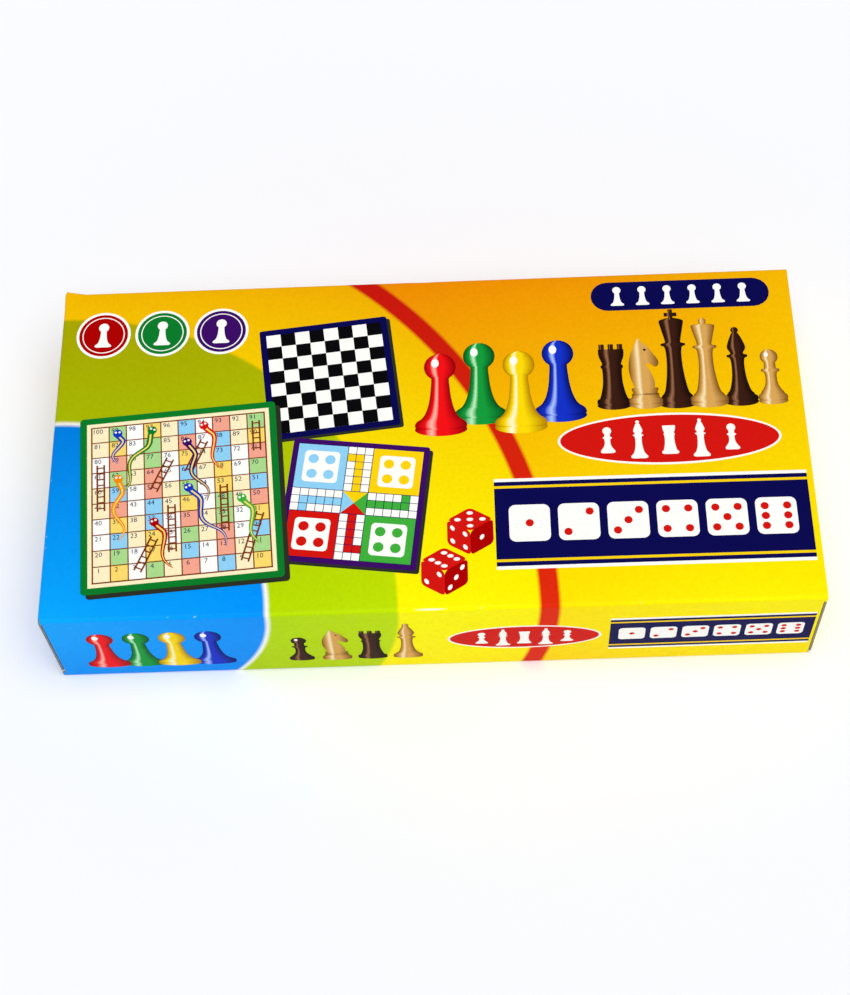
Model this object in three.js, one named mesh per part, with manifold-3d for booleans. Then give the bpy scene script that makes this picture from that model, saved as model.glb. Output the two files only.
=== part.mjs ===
// Boxed three-game set: a printed folding carton with two tuck ends, holding two folding game boards,
// ludo tokens, dice and chessmen.
// Millimetres, +Z up. X runs along the carton, Y from its front to its back. Origin: middle of the base.
import * as THREE from "three";
import { mergeVertices } from "three/addons/utils/BufferGeometryUtils.js";
import Module from "manifold-3d";

const wasm = await Module();
wasm.setup();

// Carton sheet
const sheetThickness = 0.6;
const creaseRadius = 2;
const glueFlapWidth = 18;
const glueFlapEndTrim = 9;
const seamLift = 0.5;

// Tuck ends
const tuckClearance = 1.2;
const tongueDepth = 13;
const tongueSideRoom = 5;
const tongueTaper = 4;
const tongueCorner = 5;
const closureCornerRoom = 1.4;
const dustFlapLength = 48;
const dustFlapSlope = 26;
const dustFlapCrease = 0.5;
const dustFlapTuckRoom = 1.4;
const dustFlapTipCut = 9;

// Folding boards
const boardSide = 300;
const leafThickness = 2.2;
const leafCorner = 3;
const tapeThickness = 0.4;
const tapeOverlap = 12;

// Ludo tokens
const tokenHeight = 26;
const tokenBase = 7.6;
const tokenFoot = 2.4;
const tokenWaist = 2.6;
const tokenHead = 4.7;

// Dice
const dieSide = 13;
const dieRound = 9.4;
const pipRadius = 1.2;
const pipDepth = 0.5;
const pipSpacing = 3.4;

// Chessmen: foot and stem sizes by rank
const footHeight = 3.4;
const collarThickness = 1.4;
const chessmen = {
  king: { height: 56, base: 9.4, stem: 3.8, collar: 6.2, collarHeight: 34, head: 6.2 },
  queen: { height: 50, base: 9.4, stem: 3.6, collar: 6, collarHeight: 32, head: 6 },
  bishop: { height: 44, base: 8.4, stem: 3.2, collar: 5.2, collarHeight: 26, head: 4.6 },
  knight: { height: 40, base: 8.4, stem: 6, collar: 6.6, collarHeight: 8, head: 4 },
  rook: { height: 36, base: 8.4, stem: 4.8, collar: 5.6, collarHeight: 22, head: 6.4 },
  pawn: { height: 30, base: 7.2, stem: 2.8, collar: 4.6, collarHeight: 17, head: 4.4 },
};
const crossWidth = 6.4;
const crossBar = 2.2;
const finialRadius = 1.9;
const turretDepth = 7;
const turretWall = 2;
const turretRecess = 3;
const knightReach = 8;

// Room kept between neighbours
const foldGap = 0.3;
const pieceGap = 1.2;
const blockGap = 4;
const centreGap = 4;
const boardEndRoom = 2.3;
const boardSideRoom = 4.9;
const headroom = 16.3;

// Fineness
const bendSteps = 4;
const turnedSides = 10;
const beadSteps = 4;
const pipSides = 6;

// Places that follow from the sizes
const pieceRow = ["rook", "knight", "bishop", "queen", "king", "bishop", "knight", "rook"];
const pawnPairs = 4;
const tokenColours = { red: 0xd8141a, green: 0x1c8a3c, yellow: 0xf6c90e, blue: 0x1230a0 };
const tokensPerColour = 4;
const rowLength = pieceRow.reduce((sum, rank) => sum + 2 * chessmen[rank].base + pieceGap, 0);
const pawnPitch = 2 * chessmen.pawn.base + pieceGap;
const tokenPitch = 2 * tokenBase + pieceGap;
const pawnBlockLength = pawnPairs * pawnPitch;
const tokenBlockSide = tokensPerColour * tokenPitch;
const piecesLength = rowLength + blockGap + pawnBlockLength + blockGap + tokenBlockSide;
const tallestMan = Math.max(...Object.values(chessmen).map((man) => man.height));
const tokensAndDice = tokenBlockSide + 2 * (pieceGap + dieSide);
const piecesWidth = Math.max(2 * tallestMan, 4 * chessmen.pawn.height, tokensAndDice) + 2 * centreGap;

const tapeReach = foldGap + tapeThickness;
const boardThickness = 2 * leafThickness + foldGap + 2 * tapeReach;
const boardWidth = boardSide / 2;
const stowLength = Math.max(boardSide, piecesLength);
const stowWidth = Math.max(boardWidth, piecesWidth + tapeOverlap);

const cartonLength = stowLength + tongueDepth + 3 * sheetThickness + 2 * foldGap + 2 * boardEndRoom;
const cartonWidth = stowWidth + 2 * boardSideRoom + 2 * sheetThickness;
const floorLevel = sheetThickness + foldGap;
const upperBoardLevel = floorLevel + boardThickness - tapeReach + foldGap;
const stowLevel = upperBoardLevel + boardThickness - tapeReach + foldGap;
const widestBase = Math.max(...Object.values(chessmen).map((man) => man.base));
const tallestStowed = Math.max(tokenHeight, dieSide, 2 * widestBase);
const cartonHeight = stowLevel + tallestStowed + headroom + sheetThickness;
const halfLength = cartonLength / 2;
const halfWidth = cartonWidth / 2;
const halfHeight = cartonHeight / 2;
const stowRight = halfLength - 2 * sheetThickness - foldGap - boardEndRoom;
const stowMiddle = stowRight - stowLength / 2;

const game = new THREE.Group();
game.name = "boxed_game_set";

// Adds one named sub-part to a group.
function addPart(parent, name, geometry, colour, roughness) {
  const material = new THREE.MeshStandardMaterial({ color: colour, roughness, metalness: 0 });
  const mesh = new THREE.Mesh(geometry, material);
  mesh.name = name;
  parent.add(mesh);
  return mesh;
}

// A closed geometry as a solid that can be joined and cut.
function toSolid(geometry) {
  const bare = geometry.clone();
  bare.deleteAttribute("normal");
  bare.deleteAttribute("uv");
  const merged = mergeVertices(bare, 1e-3);
  const vertProperties = merged.attributes.position.array;
  const triVerts = new Uint32Array(merged.index.array);
  return new wasm.Manifold(new wasm.Mesh({ numProp: 3, vertProperties, triVerts }));
}

// A joined or cut solid as a geometry.
function toGeometry(solid) {
  const mesh = solid.getMesh();
  const geometry = new THREE.BufferGeometry();
  geometry.setAttribute("position", new THREE.BufferAttribute(mesh.vertProperties, 3));
  geometry.setIndex(new THREE.BufferAttribute(mesh.triVerts, 1));
  geometry.computeVertexNormals();
  return geometry;
}

// Turns an extrusion of a (y, z) outline so that it runs along +X.
function alongLength(geometry) {
  const across = new THREE.Vector3(0, 1, 0);
  const up = new THREE.Vector3(0, 0, 1);
  const along = new THREE.Vector3(1, 0, 0);
  return geometry.applyMatrix4(new THREE.Matrix4().makeBasis(across, up, along));
}

function extrude(shape, depth) {
  return new THREE.ExtrudeGeometry(shape, { depth, bevelEnabled: false, curveSegments: bendSteps });
}

// Outline of a sheet folded square along a middle line, with round bends.
function foldedSheet(corners, bendRadius, thickness) {
  const outer = [];
  const inner = [];
  const put = (point, travel) => {
    const normal = new THREE.Vector2(-travel.y, travel.x).multiplyScalar(thickness / 2);
    outer.push(point.clone().add(normal));
    inner.unshift(point.clone().sub(normal));
  };
  corners.forEach((corner, i) => {
    const before = i > 0 ? corner.clone().sub(corners[i - 1]).normalize() : null;
    const after = i < corners.length - 1 ? corners[i + 1].clone().sub(corner).normalize() : null;
    if (!before || !after) {
      put(corner, before || after);
      return;
    }
    const start = corner.clone().addScaledVector(before, -bendRadius);
    const centre = start.clone().addScaledVector(after, bendRadius);
    for (let step = 0; step <= bendSteps; step++) {
      const turn = ((step / bendSteps) * Math.PI) / 2;
      const radial = before.clone().multiplyScalar(Math.sin(turn)).addScaledVector(after, -Math.cos(turn));
      const travel = before.clone().multiplyScalar(Math.cos(turn)).addScaledVector(after, Math.sin(turn));
      put(centre.clone().addScaledVector(radial, bendRadius), travel);
    }
  });
  return new THREE.Shape([...outer, ...inner]);
}

// Carton sleeve: one sheet folded round four long creases and glued inside the back panel
function makeSleeve() {
  const middle = sheetThickness / 2;
  const flapY = halfWidth - sheetThickness - foldGap - middle;
  const corners = [
    new THREE.Vector2(flapY, glueFlapWidth),
    new THREE.Vector2(flapY, middle),
    new THREE.Vector2(-halfWidth + middle, middle),
    new THREE.Vector2(-halfWidth + middle, cartonHeight - middle),
    new THREE.Vector2(halfWidth - middle, cartonHeight - middle),
    new THREE.Vector2(halfWidth - middle, seamLift),
  ];
  const outline = foldedSheet(corners, creaseRadius - middle, sheetThickness);
  const tube = alongLength(extrude(outline, cartonLength)).translate(-halfLength, 0, 0);
  let solid = toSolid(tube);
  const setBack = sheetThickness + foldGap;
  const flapFace = halfWidth - sheetThickness - foldGap / 2;
  for (const side of [-1, 1]) {
    const sideCut = new THREE.Vector3(2 * setBack, 2 * cartonWidth, cartonHeight - 2 * creaseRadius);
    const cutBox = new THREE.BoxGeometry(sideCut.x, sideCut.y, sideCut.z);
    solid = solid.subtract(toSolid(cutBox.translate(side * halfLength, 0, halfHeight)));
    const trim = new THREE.BoxGeometry(2 * glueFlapEndTrim, halfWidth, cartonHeight - 2 * creaseRadius);
    solid = solid.subtract(toSolid(trim.translate(side * halfLength, flapFace - halfWidth / 2, halfHeight)));
  }
  addPart(game, "carton_sleeve", toGeometry(solid), 0xf3b60a, 0.3);
}

// One tuck end, drawn as the left one: hinged on the top panel, tucked in at the base.
// The right end is the same, turned half round the carton's cross axis.
function makeTuckEnd(side) {
  const end = new THREE.Group();
  end.position.z = halfHeight;
  end.rotation.y = side === "right" ? Math.PI : 0;
  game.add(end);
  const colour = 0xf7c307;
  const tuckFace = -halfHeight + sheetThickness + tuckClearance;
  const innerFace = -halfLength + sheetThickness + foldGap;

  const wide = halfWidth - foldGap;
  const narrow = halfWidth - creaseRadius - closureCornerRoom;
  const shoulder = halfHeight - creaseRadius - closureCornerRoom;
  const hingeEdge = halfHeight - sheetThickness - foldGap;
  const panel = new THREE.Shape([
    new THREE.Vector2(-narrow, hingeEdge),
    new THREE.Vector2(-wide, shoulder),
    new THREE.Vector2(-wide, -shoulder),
    new THREE.Vector2(-narrow, tuckFace),
    new THREE.Vector2(narrow, tuckFace),
    new THREE.Vector2(wide, -shoulder),
    new THREE.Vector2(wide, shoulder),
    new THREE.Vector2(narrow, hingeEdge),
  ]);
  const panelGeometry = alongLength(extrude(panel, sheetThickness)).translate(-halfLength, 0, 0);
  addPart(end, `${side}_closure_panel`, panelGeometry, colour, 0.3);

  const root = halfWidth - tongueSideRoom;
  const tip = root - tongueTaper;
  const tongue = new THREE.Shape();
  tongue.moveTo(0, -root);
  tongue.lineTo(tongueDepth - tongueCorner, -tip);
  tongue.quadraticCurveTo(tongueDepth, -tip, tongueDepth, -tip + tongueCorner);
  tongue.lineTo(tongueDepth, tip - tongueCorner);
  tongue.quadraticCurveTo(tongueDepth, tip, tongueDepth - tongueCorner, tip);
  tongue.lineTo(0, root);
  const tongueGeometry = extrude(tongue, sheetThickness).translate(innerFace, 0, tuckFace);
  addPart(end, `${side}_tuck_tongue`, tongueGeometry, colour, 0.3);

  const drop = dustFlapLength * Math.tan(THREE.MathUtils.degToRad(dustFlapSlope));
  const flapHinge = halfHeight - creaseRadius - dustFlapCrease;
  const flapTuck = tuckFace + sheetThickness + dustFlapTuckRoom;
  const flapRoot = halfWidth - sheetThickness - foldGap;
  const flap = new THREE.Shape([
    new THREE.Vector2(-flapRoot, flapTuck),
    new THREE.Vector2(-flapRoot + dustFlapLength - dustFlapTipCut, flapTuck),
    new THREE.Vector2(-flapRoot + dustFlapLength, flapTuck + dustFlapTipCut),
    new THREE.Vector2(-flapRoot + dustFlapLength, flapHinge - drop),
    new THREE.Vector2(-flapRoot, flapHinge),
  ]);
  const frontFlap = alongLength(extrude(flap, sheetThickness)).translate(innerFace, 0, 0);
  addPart(end, `${side}_front_dust_flap`, frontFlap, 0xd9d5cb, 0.8);
  const backOutline = new THREE.Shape(flap.getPoints().map((point) => new THREE.Vector2(-point.x, point.y)));
  const backFlap = alongLength(extrude(backOutline, sheetThickness)).translate(innerFace, 0, 0);
  addPart(end, `${side}_back_dust_flap`, backFlap, 0xd9d5cb, 0.8);
}

// A board folded in half: two leaves face to face and a binding tape round the fold.
function makeFoldedBoard(name, level, turn) {
  const board = new THREE.Group();
  board.position.set(stowMiddle, 0, level);
  board.rotation.z = turn;
  game.add(board);
  const foldY = boardWidth / 2;
  const halfSide = boardSide / 2;
  const leaf = new THREE.Shape();
  leaf.moveTo(-halfSide, foldY);
  leaf.lineTo(-halfSide, -foldY + leafCorner);
  leaf.quadraticCurveTo(-halfSide, -foldY, -halfSide + leafCorner, -foldY);
  leaf.lineTo(halfSide - leafCorner, -foldY);
  leaf.quadraticCurveTo(halfSide, -foldY, halfSide, -foldY + leafCorner);
  leaf.lineTo(halfSide, foldY);
  const lowerLeaf = extrude(leaf, leafThickness).translate(0, 0, tapeReach);
  const upperLeaf = lowerLeaf.clone().translate(0, 0, leafThickness + foldGap);
  addPart(board, `${name}_lower_leaf`, lowerLeaf, 0xe9dfc6, 0.5);
  addPart(board, `${name}_upper_leaf`, upperLeaf, 0xe9dfc6, 0.5);
  const middle = tapeThickness / 2;
  const outside = foldY + foldGap + middle;
  const tapeLine = [
    new THREE.Vector2(foldY - tapeOverlap, boardThickness - middle),
    new THREE.Vector2(outside, boardThickness - middle),
    new THREE.Vector2(outside, middle),
    new THREE.Vector2(foldY - tapeOverlap, middle),
  ];
  const tape = alongLength(extrude(foldedSheet(tapeLine, tapeThickness, tapeThickness), boardSide));
  addPart(board, `${name}_hinge_tape`, tape.translate(-halfSide, 0, 0), 0x22242a, 0.8);
}

// A turned solid: its outline is given as (radius, height) and its axis is Y.
function turned(points) {
  return new THREE.LatheGeometry(points, turnedSides, Math.PI);
}

// A round bead on the turning axis, from its neck to its top.
function bead(radius, centre, neck) {
  const start = Math.asin(neck / radius);
  const points = [];
  for (let step = 0; step < beadSteps; step++) {
    const angle = start + ((Math.PI - start) * step) / beadSteps;
    points.push(new THREE.Vector2(radius * Math.sin(angle), centre - radius * Math.cos(angle)));
  }
  points.push(new THREE.Vector2(0, centre + radius));
  return points;
}

// Foot, stem and collar that every chessman has.
function footAndStem(man) {
  return [
    new THREE.Vector2(0, 0),
    new THREE.Vector2(man.base, 0),
    new THREE.Vector2(man.base, footHeight),
    new THREE.Vector2(man.stem + (man.base - man.stem) / 3, 2 * footHeight),
    new THREE.Vector2(man.stem, man.collarHeight),
    new THREE.Vector2(man.collar, man.collarHeight),
    new THREE.Vector2(man.collar, man.collarHeight + collarThickness),
  ];
}

// Outline of a pawn: a bead on its collar.
function pawnOutline(man) {
  return [...footAndStem(man), ...bead(man.head, man.height - man.head, man.stem)];
}

function makeKing(man) {
  const crown = man.height - crossWidth;
  const outline = [
    ...footAndStem(man),
    new THREE.Vector2(man.stem, man.collarHeight + 2 * collarThickness),
    new THREE.Vector2(man.head, crown - collarThickness),
    new THREE.Vector2(man.stem, crown + collarThickness / 2),
    new THREE.Vector2(0, crown + collarThickness),
  ];
  const post = new THREE.BoxGeometry(crossBar, crossWidth, crossBar);
  const bar = new THREE.BoxGeometry(crossWidth, crossBar, crossBar);
  const cross = toSolid(post).add(toSolid(bar));
  const lifted = toSolid(toGeometry(cross).translate(0, man.height - crossWidth / 2, 0));
  return { geometry: toGeometry(toSolid(turned(outline)).add(lifted)), outline };
}

function makeQueen(man) {
  const crown = man.height - 2 * finialRadius;
  const outline = [
    ...footAndStem(man),
    new THREE.Vector2(man.stem, man.collarHeight + 2 * collarThickness),
    new THREE.Vector2(man.head, crown - collarThickness),
    new THREE.Vector2(man.stem, crown),
    ...bead(finialRadius, man.height - finialRadius, finialRadius / 2),
  ];
  return { geometry: turned(outline), outline };
}

function makeBishop(man) {
  const mitre = man.height - 2 * finialRadius;
  const shoulder = man.collarHeight + collarThickness + man.head;
  const outline = [
    ...footAndStem(man),
    new THREE.Vector2(man.stem, man.collarHeight + 2 * collarThickness),
    new THREE.Vector2(man.head, shoulder),
    new THREE.Vector2(man.stem, (shoulder + mitre) / 2),
    ...bead(finialRadius, man.height - finialRadius, finialRadius / 2),
  ];
  return { geometry: turned(outline), outline };
}

function makeRook(man) {
  const outline = [
    ...footAndStem(man),
    new THREE.Vector2(man.stem, man.collarHeight + 2 * collarThickness),
    new THREE.Vector2(man.head, man.height - turretDepth),
    new THREE.Vector2(man.head, man.height),
    new THREE.Vector2(man.head - turretWall, man.height),
    new THREE.Vector2(man.head - turretWall, man.height - turretRecess),
    new THREE.Vector2(0, man.height - turretRecess),
  ];
  let solid = toSolid(turned(outline));
  for (const turn of [Math.PI / 4, -Math.PI / 4]) {
    const slot = new THREE.BoxGeometry(turretWall, turretRecess, 3 * man.head);
    solid = solid.subtract(toSolid(slot.rotateY(turn).translate(0, man.height, 0)));
  }
  return { geometry: toGeometry(solid), outline };
}

function makeKnight(man) {
  const top = man.collarHeight + collarThickness;
  const outline = [...footAndStem(man), new THREE.Vector2(0, top)];
  const rise = man.height - top;
  const at = (reach, height) => [reach * knightReach, top + height * rise];
  const head = new THREE.Shape();
  head.moveTo(...at(-0.6, -0.03));
  head.quadraticCurveTo(...at(-1.1, 0.55), ...at(-0.35, 0.85));
  head.lineTo(...at(-0.2, 1));
  head.lineTo(...at(0.1, 0.86));
  head.quadraticCurveTo(...at(0.5, 0.8), ...at(0.95, 0.52));
  head.lineTo(...at(0.75, 0.42));
  head.quadraticCurveTo(...at(0.3, 0.5), ...at(0.1, 0.45));
  head.quadraticCurveTo(...at(0.75, 0.25), ...at(0.6, -0.03));
  const headGeometry = extrude(head, 2 * man.head).translate(0, 0, -man.head);
  const solid = toSolid(turned(outline)).add(toSolid(headGeometry));
  return { geometry: toGeometry(solid), outline: [...outline, new THREE.Vector2(man.head, man.height)] };
}

// How far a man lying on its side tips: the steepest line from its foot's rim that clears its outline.
function lyingTilt(man, outline) {
  const above = outline.filter((point) => point.y > footHeight);
  return Math.min(...above.map((point) => Math.atan2(man.base - point.x, point.y)));
}

const makers = { king: makeKing, queen: makeQueen, bishop: makeBishop, rook: makeRook, knight: makeKnight };
const armies = { white: 0xe8d9b5, black: 0x24201d };

// Lays one army's pieces in a row on the boards, feet to the middle, heads outwards.
function layPieces(army, towards, start, middle) {
  const count = {};
  let x = start;
  for (const rank of pieceRow) {
    const man = chessmen[rank];
    const { geometry, outline } = makers[rank](man);
    const tilt = lyingTilt(man, outline);
    count[rank] = (count[rank] || 0) + 1;
    const paired = pieceRow.filter((other) => other === rank).length > 1;
    const name = paired ? `${army}_${rank}_${count[rank]}` : `${army}_${rank}`;
    const holder = new THREE.Group();
    const reach = centreGap / 2 + man.base * Math.sin(tilt);
    x += man.base + pieceGap / 2;
    holder.position.set(x, middle + towards * reach, stowLevel + man.base * Math.cos(tilt));
    holder.rotation.z = towards > 0 ? 0 : Math.PI;
    game.add(holder);
    addPart(holder, name, geometry, armies[army], 0.35).rotation.x = -tilt;
    x += man.base + pieceGap / 2;
  }
}

// Pawns lie foot to foot, joined in pairs.
function layPawns(army, towards, start, middle) {
  const man = chessmen.pawn;
  const upper = pawnOutline(man).slice(1);
  const lower = upper.map((point) => new THREE.Vector2(point.x, -point.y)).reverse();
  const outline = [...lower.slice(0, -1), ...upper];
  for (let i = 0; i < pawnPairs; i++) {
    const pair = addPart(game, `${army}_pawn_pair_${i + 1}`, turned(outline), armies[army], 0.35);
    const y = middle + towards * (centreGap / 2 + man.height);
    pair.position.set(start + (i + 0.5) * pawnPitch, y, stowLevel + man.base);
  }
}

// Ludo tokens stand in a square, one colour to a row.
function standTokens(start, middle) {
  const neck = tokenHeight - 2 * tokenHead;
  const outline = [
    new THREE.Vector2(0, 0),
    new THREE.Vector2(tokenBase, 0),
    new THREE.Vector2(tokenBase, tokenFoot),
    new THREE.Vector2(tokenWaist + (tokenBase - tokenWaist) / 2, 2 * tokenFoot),
    new THREE.Vector2(tokenWaist, neck),
    ...bead(tokenHead, tokenHeight - tokenHead, tokenWaist),
  ];
  Object.entries(tokenColours).forEach(([colour, shade], row) => {
    for (let i = 0; i < tokensPerColour; i++) {
      const token = addPart(game, `token_${colour}_${i + 1}`, turned(outline), shade, 0.3);
      const y = middle + (row + 0.5) * tokenPitch - tokenBlockSide / 2;
      token.position.set(start + (i + 0.5) * tokenPitch, y, stowLevel);
      token.rotation.x = Math.PI / 2;
    }
  });
}

// Pips of one face, as (right, up) steps from its middle.
function pipPlaces(count) {
  const places = count % 2 ? [[0, 0]] : [];
  if (count > 1) places.push([-1, -1], [1, 1]);
  if (count > 3) places.push([-1, 1], [1, -1]);
  if (count > 5) places.push([-1, 0], [1, 0]);
  return places;
}

// A die: a cube rounded by a ball, with drilled pips; opposite faces add up to seven.
function makeDie() {
  const cube = new THREE.BoxGeometry(dieSide, dieSide, dieSide);
  const ball = new THREE.SphereGeometry(dieRound, turnedSides, turnedSides);
  let solid = toSolid(cube).intersect(toSolid(ball));
  const turns = [
    [0, 0],
    [Math.PI / 2, 0],
    [0, Math.PI / 2],
    [0, -Math.PI / 2],
    [-Math.PI / 2, 0],
    [Math.PI, 0],
  ];
  turns.forEach(([aboutX, aboutY], face) => {
    for (const [right, up] of pipPlaces(face + 1)) {
      const pip = new THREE.CylinderGeometry(pipRadius, pipRadius, 2 * pipDepth, pipSides);
      pip.rotateX(Math.PI / 2).translate(right * pipSpacing, up * pipSpacing, dieSide / 2);
      solid = solid.subtract(toSolid(pip.rotateX(aboutX).rotateY(aboutY)));
    }
  });
  return toGeometry(solid);
}

makeSleeve();
makeTuckEnd("left");
makeTuckEnd("right");
makeFoldedBoard("ludo_snakes_board", floorLevel, 0);
makeFoldedBoard("chess_board", upperBoardLevel, Math.PI);

// The pieces keep clear of the upper board's tape, which lies along the front.
const piecesMiddle = tapeOverlap / 2;
const piecesStart = stowMiddle - piecesLength / 2;
const pawnsStart = piecesStart + rowLength + blockGap;
const tokensStart = pawnsStart + pawnBlockLength + blockGap;
layPieces("white", 1, piecesStart, piecesMiddle);
layPieces("black", -1, piecesStart, piecesMiddle);
layPawns("white", 1, pawnsStart, piecesMiddle);
layPawns("black", -1, pawnsStart, piecesMiddle);
standTokens(tokensStart, piecesMiddle);
[1, -1].forEach((towards, i) => {
  const die = addPart(game, `die_${i + 1}`, makeDie(), 0xf4f1ea, 0.3);
  const y = piecesMiddle + towards * (tokenBlockSide / 2 + pieceGap + dieSide / 2);
  die.position.set(tokensStart + tokenBlockSide / 2, y, stowLevel + dieSide / 2);
});

export default game;
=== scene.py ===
"""Looks of a boxed three-game set: a printed tuck-end carton, and the boards and pieces stowed in it."""
import math

import bmesh
import bpy
from bpy.props import FloatProperty, FloatVectorProperty, PointerProperty
from mathutils import Matrix, Vector


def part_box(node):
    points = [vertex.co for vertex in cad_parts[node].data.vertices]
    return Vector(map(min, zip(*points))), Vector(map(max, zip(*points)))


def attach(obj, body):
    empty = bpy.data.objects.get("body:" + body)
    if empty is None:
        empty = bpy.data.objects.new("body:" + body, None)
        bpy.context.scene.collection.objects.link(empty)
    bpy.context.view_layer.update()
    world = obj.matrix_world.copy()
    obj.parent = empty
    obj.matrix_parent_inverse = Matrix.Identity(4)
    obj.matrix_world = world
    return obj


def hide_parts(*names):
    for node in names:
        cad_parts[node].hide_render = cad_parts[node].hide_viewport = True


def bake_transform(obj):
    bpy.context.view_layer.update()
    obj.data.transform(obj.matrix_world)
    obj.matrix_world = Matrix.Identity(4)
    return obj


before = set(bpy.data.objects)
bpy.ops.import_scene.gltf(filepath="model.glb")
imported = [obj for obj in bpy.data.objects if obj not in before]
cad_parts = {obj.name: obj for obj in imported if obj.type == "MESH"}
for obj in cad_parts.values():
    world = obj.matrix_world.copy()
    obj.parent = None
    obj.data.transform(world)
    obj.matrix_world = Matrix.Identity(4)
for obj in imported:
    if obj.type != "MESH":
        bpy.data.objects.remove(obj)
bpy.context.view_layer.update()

bl_info = {
    "name": "Boxed Game Set",
    "version": (1, 0, 0),
    "blender": (4, 5, 0),
    "location": "View3D > Sidebar > Game Set",
    "description": "Dresses the carton, boards and playing pieces of a three-game set",
    "category": "Object",
}

MM = 0.001

# Sizes that the frame gives
SLEEVE_LOW, SLEEVE_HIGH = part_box("carton_sleeve")
LENGTH, WIDTH, HEIGHT = SLEEVE_HIGH - SLEEVE_LOW
HALF_LENGTH = LENGTH / 2
HALF_WIDTH = WIDTH / 2
CLOSURE_LOW, CLOSURE_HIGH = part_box("left_closure_panel")
TONGUE_LOW, TONGUE_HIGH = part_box("left_tuck_tongue")
DUST_LOW, DUST_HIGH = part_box("left_front_dust_flap")
RAW_END = -DUST_LOW.x
SHEET = CLOSURE_HIGH.x - CLOSURE_LOW.x

# Details of the sheet that are too fine for the frame
GLUE_FLAP = 18 * MM
GLUE_FLAP_TRIM = 9 * MM
GLUE_GAP = 0.3 * MM
SEAM_LIFT = 0.5 * MM
CLOSURE_CORNER = 2.4 * MM
TONGUE_TAPER = 4 * MM
TONGUE_CORNER = 5 * MM
DUST_SLOPE = math.radians(26)
DUST_TIP_CUT = 9 * MM
PRINT_BLEED = 4 * MM
SPRUNG_REACH = 3.5 * MM
BACK_ZONE = 2 * MM
# Share of a panel at its rim over which a bow or a sprung corner fades in
RIM_SHARE = 0.1
# Places of the sheet's materials after its print, which comes first
INSIDE = 1
EDGE = 2
BARE = 3

# How finely the meshes are made
PANEL_STEP = 10 * MM
CREASE_STEPS = 6
CORNER_STEPS = 5
BALL_STEPS = 10
TURN_STEPS = 40
SMOOTH_ANGLE = math.radians(35)
CUT_TOLERANCE = 1e-7
MERGE_DISTANCE = 1e-6

# Ink films lie on the sheet in layers, and each fills most of the depth of its layer
COVER_FILM = 0.02 * MM
BOARD_FILM = 0.01 * MM
FILM_SHARE = 0.85
# How far a board's print stops short of the fold on each side, in millimetres
FOLD_CUT = 0.01

INKS = {
    "white": "#fdfcf6",
    "cream": "#fbeec2",
    "straw": "#f9d96a",
    "salmon": "#f3a58c",
    "mint": "#a9d88b",
    "sky": "#8fd0f2",
    "black": "#0a090b",
    "navy": "#0b0a4e",
    "blue": "#1336b8",
    "red": "#d31610",
    "dark_red": "#ab0101",
    "green": "#0b7a2a",
    "leaf": "#3fae3a",
    "purple": "#3b0d63",
    "yellow": "#fdd20c",
    "orange": "#f28a05",
    "brown": "#7b3512",
    "shadow": "#2c3024",
}
# Inks that model a round piece: its rim, its body and the light on it
SHADED_INKS = {
    "red_pawn": ("#8e0208", "#f31217", "#ffb9a8"),
    "green_pawn": ("#05481a", "#159a3a", "#b9f0bd"),
    "yellow_pawn": ("#b07a02", "#fcd908", "#fffbd0"),
    "blue_pawn": ("#050b5c", "#1532c4", "#a9c4ff"),
    "dark_wood": ("#120a08", "#3a1d12", "#9a6a4a"),
    "light_wood": ("#7a4a16", "#d8a456", "#fbe6b6"),
}
PLASTICS = {
    "red": "#d8141a",
    "green": "#1c8a3c",
    "yellow": "#f6c90e",
    "blue": "#1230a0",
    "cream": "#e8d9b5",
    "black": "#24201d",
    "dice": "#f4f1ea",
}

# Widths of the patterns in the finishes. The paper's tooth, the torn fibres and the threads of the cloth are
# drawn coarser than real so that they show
MOTTLE = 1.6 * MM
SHEET_WAVE = 14 * MM
PAPER_TOOTH = 0.5 * MM
RUB_MARK = 6 * MM
PULP_FLECK = 0.8 * MM
COATING_CLOUD = 15 * MM
TORN_FIBRE = 0.3 * MM
FLOW_MARK = 5 * MM
FINE_SCUFF = 0.9 * MM
ENAMEL_PATCH = 0.6 * MM
HANDLING_MARK = 9 * MM
CLOTH_THREAD = 0.8 * MM
PAPER_CLOUD = 300 * MM
# How broken a pattern is, from soft clouds to fine flecks
SOFT = 2.0
MIXED = 3.0
FLECKED = 4.0
BROKEN = 5.0


def linear(code):
    """An sRGB hex colour as linear red, green, blue and alpha."""
    shares = [int(code[i:i + 2], 16) / 255 for i in (1, 3, 5)]
    return tuple(s / 12.92 if s <= 0.04045 else ((s + 0.055) / 1.055) ** 2.4 for s in shares) + (1.0,)


def tinted(colour, share):
    """A colour made darker, below 1, or lighter, above 1."""
    return tuple(min(1.0, c * share) for c in colour[:3]) + (1.0,)


# Settings


def size_property(label, words, millimetres):
    """A length that the user sets, given in millimetres."""
    return FloatProperty(name=label, description=words, default=millimetres * MM, unit="LENGTH")


def colour_property(label, words, code):
    """A colour that the user sets, given as a hex code."""
    return FloatVectorProperty(
        name=label, description=words, default=linear(code), size=4, subtype="COLOR", min=0.0, max=1.0
    )


def colours_of(codes, words):
    """A colour property for each name in a table of hex codes."""
    made = {}
    for name, code in codes.items():
        label = name.replace("_", " ")
        made[name] = colour_property(label.capitalize(), f"{words}: {label}", code)
    return made


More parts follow.
